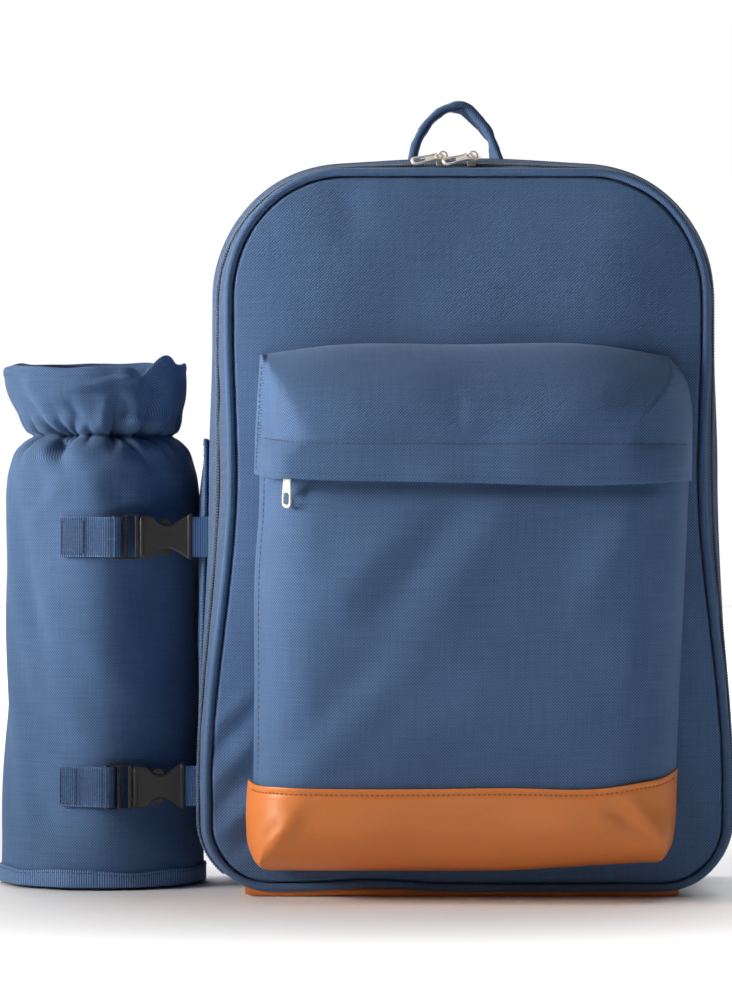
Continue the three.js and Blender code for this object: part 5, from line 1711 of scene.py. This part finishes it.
def pouch_creases(turn, z):
    """Depth of the gathers: sharp at the neck, wider and shallower away from it."""
    away = z - NECK_Z
    total = np.zeros(np.broadcast(turn, z).shape)
    for degrees, depth, below, above, slant in CREASES:
        strength = bell(away, 0, np.where(away < 0, below, above))
        arc = np.abs(turned_by(turn, degrees + slant * away)) * NECK_ARC
        wide = GATHER["wide"] + GATHER["by_depth"] * depth + GATHER["by_height"] * np.abs(away)
        total -= GATHER["strength"] * depth * strength * np.exp(-((arc / wide) ** GATHER["power"]))
    for degrees, height, half, tall, depth in DENTS:
        aside, above = turned_by(turn, degrees) / np.radians(half), (z - height) / tall
        total -= depth * np.exp(-(aside**2) - above**2)
    bulge = bell(np.abs(away), NECK_BULGE["away"], NECK_BULGE["away"])
    drawn = bell(away, 0, NECK_CORD["half"]) * (0.4 + 0.6 * np.maximum(np.cos(turn), 0))
    return total + NECK_BULGE["high"] * bulge - NECK_CORD["deep"] * drawn


def pouch_square(turn):
    """The pouch's section is a little square, with a corner to the front."""
    return SQUARENESS * (np.cos(4 * turned_by(turn, SQUARE_CORNER)) - 1)


def pouch_rim(turn):
    """How far the mouth's rim stands outward and upward."""
    out, up = np.zeros_like(turn), np.zeros_like(turn)
    for degrees, half, outward_by, upward_by in RIM_FOLDS:
        bump = bell(turned_by(turn, degrees), 0, np.radians(half))
        out, up = out + outward_by * bump, up + upward_by * bump
    return out, up


def pouch_wall():
    z_rows = np.concatenate([np.linspace(*step) for step in POUCH_STEPS])
    turn, z = np.meshgrid(np.linspace(-np.pi, np.pi, POUCH_COLUMNS, endpoint=False), z_rows)
    radius = pouch_radius(z) + pouch_creases(turn, z)
    body = smooth_step(*POUCH_SPANS["foot"], z) * (1 - smooth_step(*POUCH_SPANS["neck"], z))
    radius = radius + pouch_square(turn) * body
    strapped = bell(turned_by(turn, STRAPPED["turn"]), 0, STRAPPED["half_turn"])
    near_strap = sum(bell(z, strap["z"], STRAPPED["half"]) for strap in STRAPS)
    soft = uneven("pouch", np.sin(turn) * 60 + np.cos(turn) * 20, z * 0.55 + np.cos(turn) * 60) - 0.5
    around = turned_by(turn, 0) * BODY_ARC
    slack = soft + folds(around, z, POUCH_FOLDS)
    radius = radius + slack * body * (1 - np.minimum(strapped * near_strap, 1) * STRAPPED["share"])
    wave = look_up(POUCH_ROWS, "z", z, "wave")
    out, up = pouch_rim(turn)
    ruffle = uneven("ruffle", around, z) * smooth_step(*POUCH_SPANS["ruffle"], z)
    ruffle = folds(around, z, RUFFLE_FOLDS) + ruffle
    radius = radius + wave * out + ruffle
    x = POUCH_X - look_up(POUCH_ROWS, "z", z, "lean") + radius * np.sin(turn)
    grid = np.stack([x, POUCH_Y - radius * np.cos(turn), z + wave * up], axis=-1)
    closed = np.concatenate([grid, grid[:, :1]], axis=1)
    u = np.cumsum(np.linalg.norm(np.diff(closed, axis=1, prepend=closed[:, :1]), axis=2), axis=1)
    u = u - u[:, POUCH_COLUMNS // 2, None]
    v = np.cumsum(np.linalg.norm(np.diff(closed, axis=0, prepend=closed[:1]), axis=2).mean(axis=1))
    places = np.stack(np.broadcast_arrays(u, v[:, None]), axis=-1)
    obj = sheet_object("pouch_cloth", grid, places, canvas, POUCH_MIDDLE, wrap=True)
    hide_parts("pouch_wall")
    rim = pouch_rim_roll(grid[-3])


def pouch_rim_roll(row):
    """The mouth's edge, turned over and soft."""
    out = pouch_normals(row)
    path = row - out * RIM_ROLL["inside"]
    up = unit(np.cross(directions(path, loop=True), out))
    size = 1 + uneven("rim", np.arange(len(path)))
    wide, tall = RIM_ROLL["wide"] * size, RIM_ROLL["tall"] * size
    return tube_object("pouch_rim", path, out, up, wide, tall, canvas, "cloth", power=0.9, loop=True)


def pouch_floor():
    radius = POUCH_RADIUS - CLOTH - GAP - 0.2
    ring = [round_pouch(radius, turn) for turn in np.linspace(0, 2 * np.pi, 96, endpoint=False)]
    points, faces = plate_mesh(ring, FLOOR_THICK, 0.6)
    points = points + np.array([0, 0, POUCH_FOOT + FLOOR_THICK / 2])
    obj = mesh_object("pouch_base", points, faces, canvas, slot="cloth")
    obj.data.set_sharp_from_angle(angle=SHARP_ANGLE)
    flat_threads(obj, 0, 1)
    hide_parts("pouch_floor")


def pouch_hem():
    columns = 300
    turn = np.linspace(0, 2 * np.pi, columns, endpoint=False)
    shares = np.array([0, 0.06, 0.2, 0.5, 0.8, 0.94, 1])
    sink = np.array([0.5, 0.12, 0, 0, 0, 0.12, 0.5])
    z = HEM_FOOT + HEM_HEIGHT * shares
    around = turn * POUCH_RADIUS
    radius = (POUCH_RADIUS + GAP + HEM_THICK - sink)[:, None] + uneven("hem_wall", around)[None]
    x, y = POUCH_X + radius * np.sin(turn), POUCH_Y - radius * np.cos(turn)
    wave = uneven("hem_edge", around)[None] * shares[:, None]
    grid = np.stack([x, y, z[:, None] + wave], axis=-1)
    length = np.linspace(0, 2 * np.pi * POUCH_RADIUS, columns + 1)
    places = np.stack(np.broadcast_arrays(length[None], z[:, None]), axis=-1)
    obj = sheet_object("pouch_hem_tape", grid, places, webbing, POUCH_MIDDLE, HEM_THICK - 0.3, True, "trim")
    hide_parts("pouch_hem")
    path = np.vstack([grid[5], grid[5][:1]]) - np.array([0, 0, HEM_SEAM])
    row = (path, pouch_normals(path))
    stitches("pouch_hem_stitches", [row], blue_thread, "trim", width=0.6)


# Handle and side pocket
def handle():
    path, even = resample([(x, HANDLE_Y, z) for x, z in HANDLE_PATH], 0.9)
    share = even / even[-1]
    out = unit(np.cross(BACKWARD, directions(path)))
    away = np.broadcast_to(BACKWARD, path.shape)
    twist = np.radians(look_up(HANDLE_ROWS, "share", share, "twist"))[:, None]
    wide_way = away * np.cos(twist) + out * np.sin(twist)
    thick_way = out * np.cos(twist) - away * np.sin(twist)
    thick = look_up(HANDLE_ROWS, "share", share, "thick") * (1 + uneven("handle_thick", even))
    wide = HANDLE_WIDE * (1 + uneven("handle_wide", even))
    obj = tube_object("handle_loop", path, wide_way, thick_way, wide, thick, canvas, "cloth", sides=24)
    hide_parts("handle")


def side_pocket():
    p = SIDE_POCKET
    heights, depths = np.linspace(p["foot"], p["head"], 80), np.linspace(p["front"], p["back"], 50)
    z, y = np.meshgrid(heights, depths, indexing="ij")
    ring_depths = [FRONT_Y + ring["depth"] for ring in GUSSET_RINGS]
    half = np.array([
        np.interp(depths, ring_depths, [half_width(ring, height) for ring in GUSSET_RINGS])
        for height in heights
    ])
    across = np.sin(np.pi * (y - p["front"]) / (p["back"] - p["front"]))
    swell = p["puff"] * across * smooth_step(*p["swell"], z) * (1 - smooth_step(*p["flat"], z))
    soft = (uneven("side_pocket", y, z) + 1) * 0.25 * across * smooth_step(p["foot"], p["foot"] + 30, z)
    above = z - p["head"]
    hem = 0.5 * bell(above, -2, 1.5) - 0.35 * bell(above, -p["hem"], 1.2)
    grid = np.stack([-half - 2 * GAP - CLOTH - swell - soft - hem, y, z], axis=-1)
    obj = sheet_object("side_pocket_cloth", grid, cloth_grid(grid), canvas, BAG_MIDDLE)
    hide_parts("side_pocket")
    normals = grid_normals(grid, BAG_MIDDLE)
    hem_row = int(np.argmin(np.abs(above[:, 0] + p["hem"])))
    rows = [(grid[hem_row], normals[hem_row])]
    rows += [(grid[:, column], normals[:, column]) for column in (2, -3)]
    rows += [(grid[1], normals[1])]
    stitches("side_pocket_stitches", rows, blue_thread, "cloth", width=0.55, lift=-0.1)


def strap_tab(name, side):
    ring = rounded([(side * x, z) for x, z in TAB_CORNERS][::side], 5)
    points, faces = plate_mesh(ring, TAB_THICK, 0.7)
    turned = np.stack([points[:, 0], -points[:, 2] + TAB_Y + TAB_THICK / 2, points[:, 1]], axis=1)
    obj = mesh_object(f"leather_tab_{name}", turned, faces, tan_leather, slot="leather")
    obj.data.set_sharp_from_angle(angle=SHARP_ANGLE)
    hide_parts(f"strap_tab_{name}")
    middle = np.mean(np.asarray(ring), axis=0)
    row = np.array([middle + (np.asarray(p) - middle) * 0.84 for p in [*ring, ring[0]]])
    path = np.column_stack([row[:, 0], np.full(len(row), TAB_Y + TAB_THICK), row[:, 1]])
    seam = (path, np.tile(BACKWARD, (len(path), 1)))
    stitches(f"tab_stitches_{name}", [seam], tan_thread, "leather", pitch=2.8, length=2, width=0.55)


# Sliders and pulls
def arch_mesh(reach, rise, top, wire):
    """A wire loop in the plane of x and z, standing on the slider."""
    turns = np.linspace(0, np.pi, 20)
    legs = [(reach, top - 0.4), (reach, (top + rise) / 2)]
    arc = [(reach * math.cos(t), rise + reach * math.sin(t)) for t in turns]
    plan = np.array(legs + arc + [(-x, z) for x, z in legs[::-1]])
    path = np.column_stack([plan[:, 0], np.zeros(len(plan)), plan[:, 1]])
    side = np.broadcast_to(BACKWARD, path.shape)
    out = np.cross(directions(path), side)
    sides = 10
    turn = (2 * np.pi * np.arange(sides) / sides)[None, :, None]
    ring = path[:, None] + (side[:, None] * np.cos(turn) * 1.2 + out[:, None] * np.sin(turn)) * wire / 2
    return ring.reshape(-1, 3), capped_faces(len(path), sides)


def slider(name, matrix, node):
    top_ring = [
        (-4.5, -2.4), (-3.1, -3.8), (1.5, -3.8), (4.5, -1.8),
        (4.5, 1.8), (1.5, 3.8), (-3.1, 3.8), (-4.5, 2.4),
    ]
    plate_top = moved(plate_mesh(rounded(top_ring, 1.4), 0.95, 0.3), z=SLIDER_TOP - 0.475)
    wall = plate_mesh(rounded(box_ring(-3.2, 1.8, 0.7), 0.4), 3.4, 0.25)
    walls = [moved(wall, y=side * 3.0, z=0.7) for side in (-1, 1)]
    crown = moved(plate_mesh(rounded(box_ring(-3.4, 3.2, 1.3), 0.8), 0.5, 0.2), z=SLIDER_TOP - 0.06)
    arch = arch_mesh(SLIDER_ARCH, PULL_HEIGHT, SLIDER_TOP, 1)
    joined(name, [plate_top, crown, arch, *walls], matrix, nickel, "nickel", "bag", node)


def oval_ring(x0, x1, half, steps=10):
    turns = np.linspace(np.pi / 2, 3 * np.pi / 2, steps)
    left = [(x0 + half + half * math.cos(t), half * math.sin(t)) for t in turns]
    right = [(x1 - half - half * math.cos(t), -half * math.sin(t)) for t in turns]
    return left + right


def pull(name, matrix, body, node, longer=0.0, wider=0.0, hole_half=1.2):
    """A tab with an eye for the slider's loop, raised rims and an oval hole."""
    end, neck, half = -19 - longer, 2.2 + wider, 2.7 + wider
    ring = mirrored([
        (0.7, 1.8), (-0.1, 2.6), (-4.3, 2.6), (-7.3, neck), (end + 6, half), (end + 1.6, half), (end, 1.5),
    ])
    eye = rounded(box_ring(-3.3, -0.7, 1.8), 0.7)
    hole = oval_ring(end + 1.6, end + 8.4, hole_half)
    base = plate_mesh(rounded(ring, 1.3), 0.8, 0.2, holes=[eye, hole])
    inner = mirrored([(-4.6, 1.45), (-7.3, neck - 1), (end + 7, half - 1.05), (end + 1.4, half - 1.1)])
    outer = mirrored([
        (-3.6, 2.45), (-7.3, neck - 0.15), (end + 6, half - 0.15), (end + 1.7, half - 0.15),
        (end + 0.2, 1.4),
    ])
    rim = plate_mesh(rounded(outer, 1.2), 1.4, 0.25, holes=[rounded(inner, 1.2)])
    joined(name, [base, rim], matrix, nickel, "nickel", body, node)


def mirrored(points):
    """A closed ring from its half at one side."""
    return [(x, y) for x, y in points] + [(x, -y) for x, y in points[::-1]]


def basis(along, across, out, place):
    matrix = Matrix((along, across, out)).transposed().to_4x4()
    matrix.translation = place
    return matrix


def top_zip_frame(x):
    """The frame of the main zip at its top: along it, across it and out of it."""
    (near, low), (far, high), (middle, coil_z) = (TOP_ZIP[place] for place in ("front", "rear", "coil"))
    front = Vector((x, FRONT_Y + near, low))
    lift = 1 - float(smooth_step(0, CROWN_REACH, near))
    front.y += (float(panel_y(np.array(x), np.array(low))) - FRONT_Y) * lift
    slope = (Vector((x, FRONT_Y + far, high)) - front).normalized()
    along = Vector((1, 0, 0))
    out = along.cross(slope).normalized()
    return basis(along, out.cross(along), out, Vector((x, FRONT_Y + middle, coil_z)))


def top_sliders():
    for name, x, turn in TOP_SLIDERS:
        matrix = top_zip_frame(x)
        slider(f"top_slider_{name}", matrix, f"slider_{name}")
        yaw = Matrix.Translation((0, 0, PULL_HEIGHT)) @ Matrix.Rotation(math.radians(turn), 4, "Z")
        roll = Matrix.Rotation(math.radians(PULL_ROLL), 4, "X")
        pull(f"top_pull_{name}", matrix @ yaw @ roll, f"{name}_pull", f"pull_{name}")


def pocket_slider():
    joint = next(j for j in frame["joints"] if j["name"] == "pocket_pull_swing")
    out = Vector(joint["axis"]).normalized()
    up = Vector(UPWARD)
    across = (up - out * up.dot(out)).normalized()
    along = across.cross(out).normalized()
    turn = Matrix.Rotation(zip_turn(across, along), 4, out)
    along, across = turn.to_3x3() @ along, turn.to_3x3() @ across
    hinge = Vector(joint["pos_m"]) / MM
    matrix = basis(along, across, out, hinge - along * SLIDER_LOOP - out * PULL_HEIGHT)
    slider("low_slider", matrix, "slider_pocket")
    lean = Matrix.Rotation(math.radians(90 - POCKET_PULL["lean"]), 4, "Z")
    hang = Matrix.Translation((SLIDER_LOOP, 0, PULL_HEIGHT)) @ lean
    grip = Matrix.Translation((POCKET_PULL["pivot"], -POCKET_PULL["aside"], 0))
    place = matrix @ hang @ grip
    pull("low_pull", place, "pocket_pull", "pull_pocket", longer=3.6, wider=0.25, hole_half=1.75)


def zip_turn(across, along):
    """How far the pocket's zip turns from level at its slider."""
    ends = pocket_zip_points(np.array(SLIDER_SPAN), np.array([ZIP_LINE, ZIP_LINE], float))
    run = Vector(ends[1] - ends[0]).normalized()
    return math.atan2(run.dot(across), run.dot(along))


# Stage
def floor():
    size = 6000
    corners = [(-size, -size, 0), (size, -size, 0), (size, size, 0), (-size, size, 0)]
    mesh = bpy.data.meshes.new("floor")
    mesh.from_pydata([tuple(c * MM for c in p) for p in corners], [], [(0, 1, 2, 3)])
    mesh.materials.append(floor_material("pale_floor"))
    obj = bpy.data.objects.new("floor", mesh)
    bpy.context.scene.collection.objects.link(obj)


def area_light(name, place, target, size, power, colour, cone):
    data = bpy.data.lights.new(name, "AREA")
    data.shape = "RECTANGLE"
    data.size, data.size_y = size
    data.energy = power
    data.color = colour
    data.spread = math.radians(cone)
    obj = bpy.data.objects.new(name, data)
    bpy.context.scene.collection.objects.link(obj)
    obj.location = place
    obj.rotation_euler = (Vector(target) - Vector(place)).to_track_quat("-Z", "Y").to_euler()


def lights():
    for name, settings in LIGHTS.items():
        area_light(name, *settings)


def world():
    """White to look at, and a dim even light on everything."""
    scene_world = bpy.data.worlds.new("studio")
    scene_world.use_nodes = True
    tree = scene_world.node_tree
    seen = tree.nodes.new("ShaderNodeLightPath").outputs["Is Camera Ray"]
    background = tree.nodes["Background"]
    background.inputs["Color"].default_value = (1, 1, 1, 1)
    tree.links.new(spread(tree, seen, AMBIENT, 1), background.inputs["Strength"])
    bpy.context.scene.world = scene_world


def camera():
    data = bpy.data.cameras.new("camera")
    data.sensor_width = SENSOR
    data.sensor_fit = "AUTO"
    data.lens = SENSOR * CAMERA_DISTANCE / (PHOTO_HEIGHT * MM_PER_PIXEL)
    data.clip_start, data.clip_end = 0.05, 50
    obj = bpy.data.objects.new("camera", data)
    obj.location = (CAMERA_X * MM, (FRONT_Y - CAMERA_DISTANCE) * MM, CAMERA_Z * MM)
    obj.rotation_euler = (math.pi / 2, 0, 0)
    bpy.context.scene.collection.objects.link(obj)
    bpy.context.scene.camera = obj


def build():
    front_panel()
    piping()
    zip_tape()
    zip_coil()
    lid_hinge()
    gusset()
    base_panel()
    back_panel()
    back_binding()
    handle()
    side_pocket()
    pocket_body()
    pocket_hood()
    pocket_leather()
    pocket_zip()
    pouch_wall()
    pouch_floor()
    pouch_hem()
    for strap in STRAPS:
        pouch_strap(strap)
        buckle_male(strap)
        buckle_female(strap)
        bag_strap(strap)
    top_sliders()
    pocket_slider()
    for name, side in (("left", -1), ("right", 1)):
        shoulder_strap(name, side)
        strap_webbing(name, side)
        strap_tab(name, side)


build()
floor()
lights()
world()
camera()
bpy.context.scene.view_settings.view_transform = "Standard"
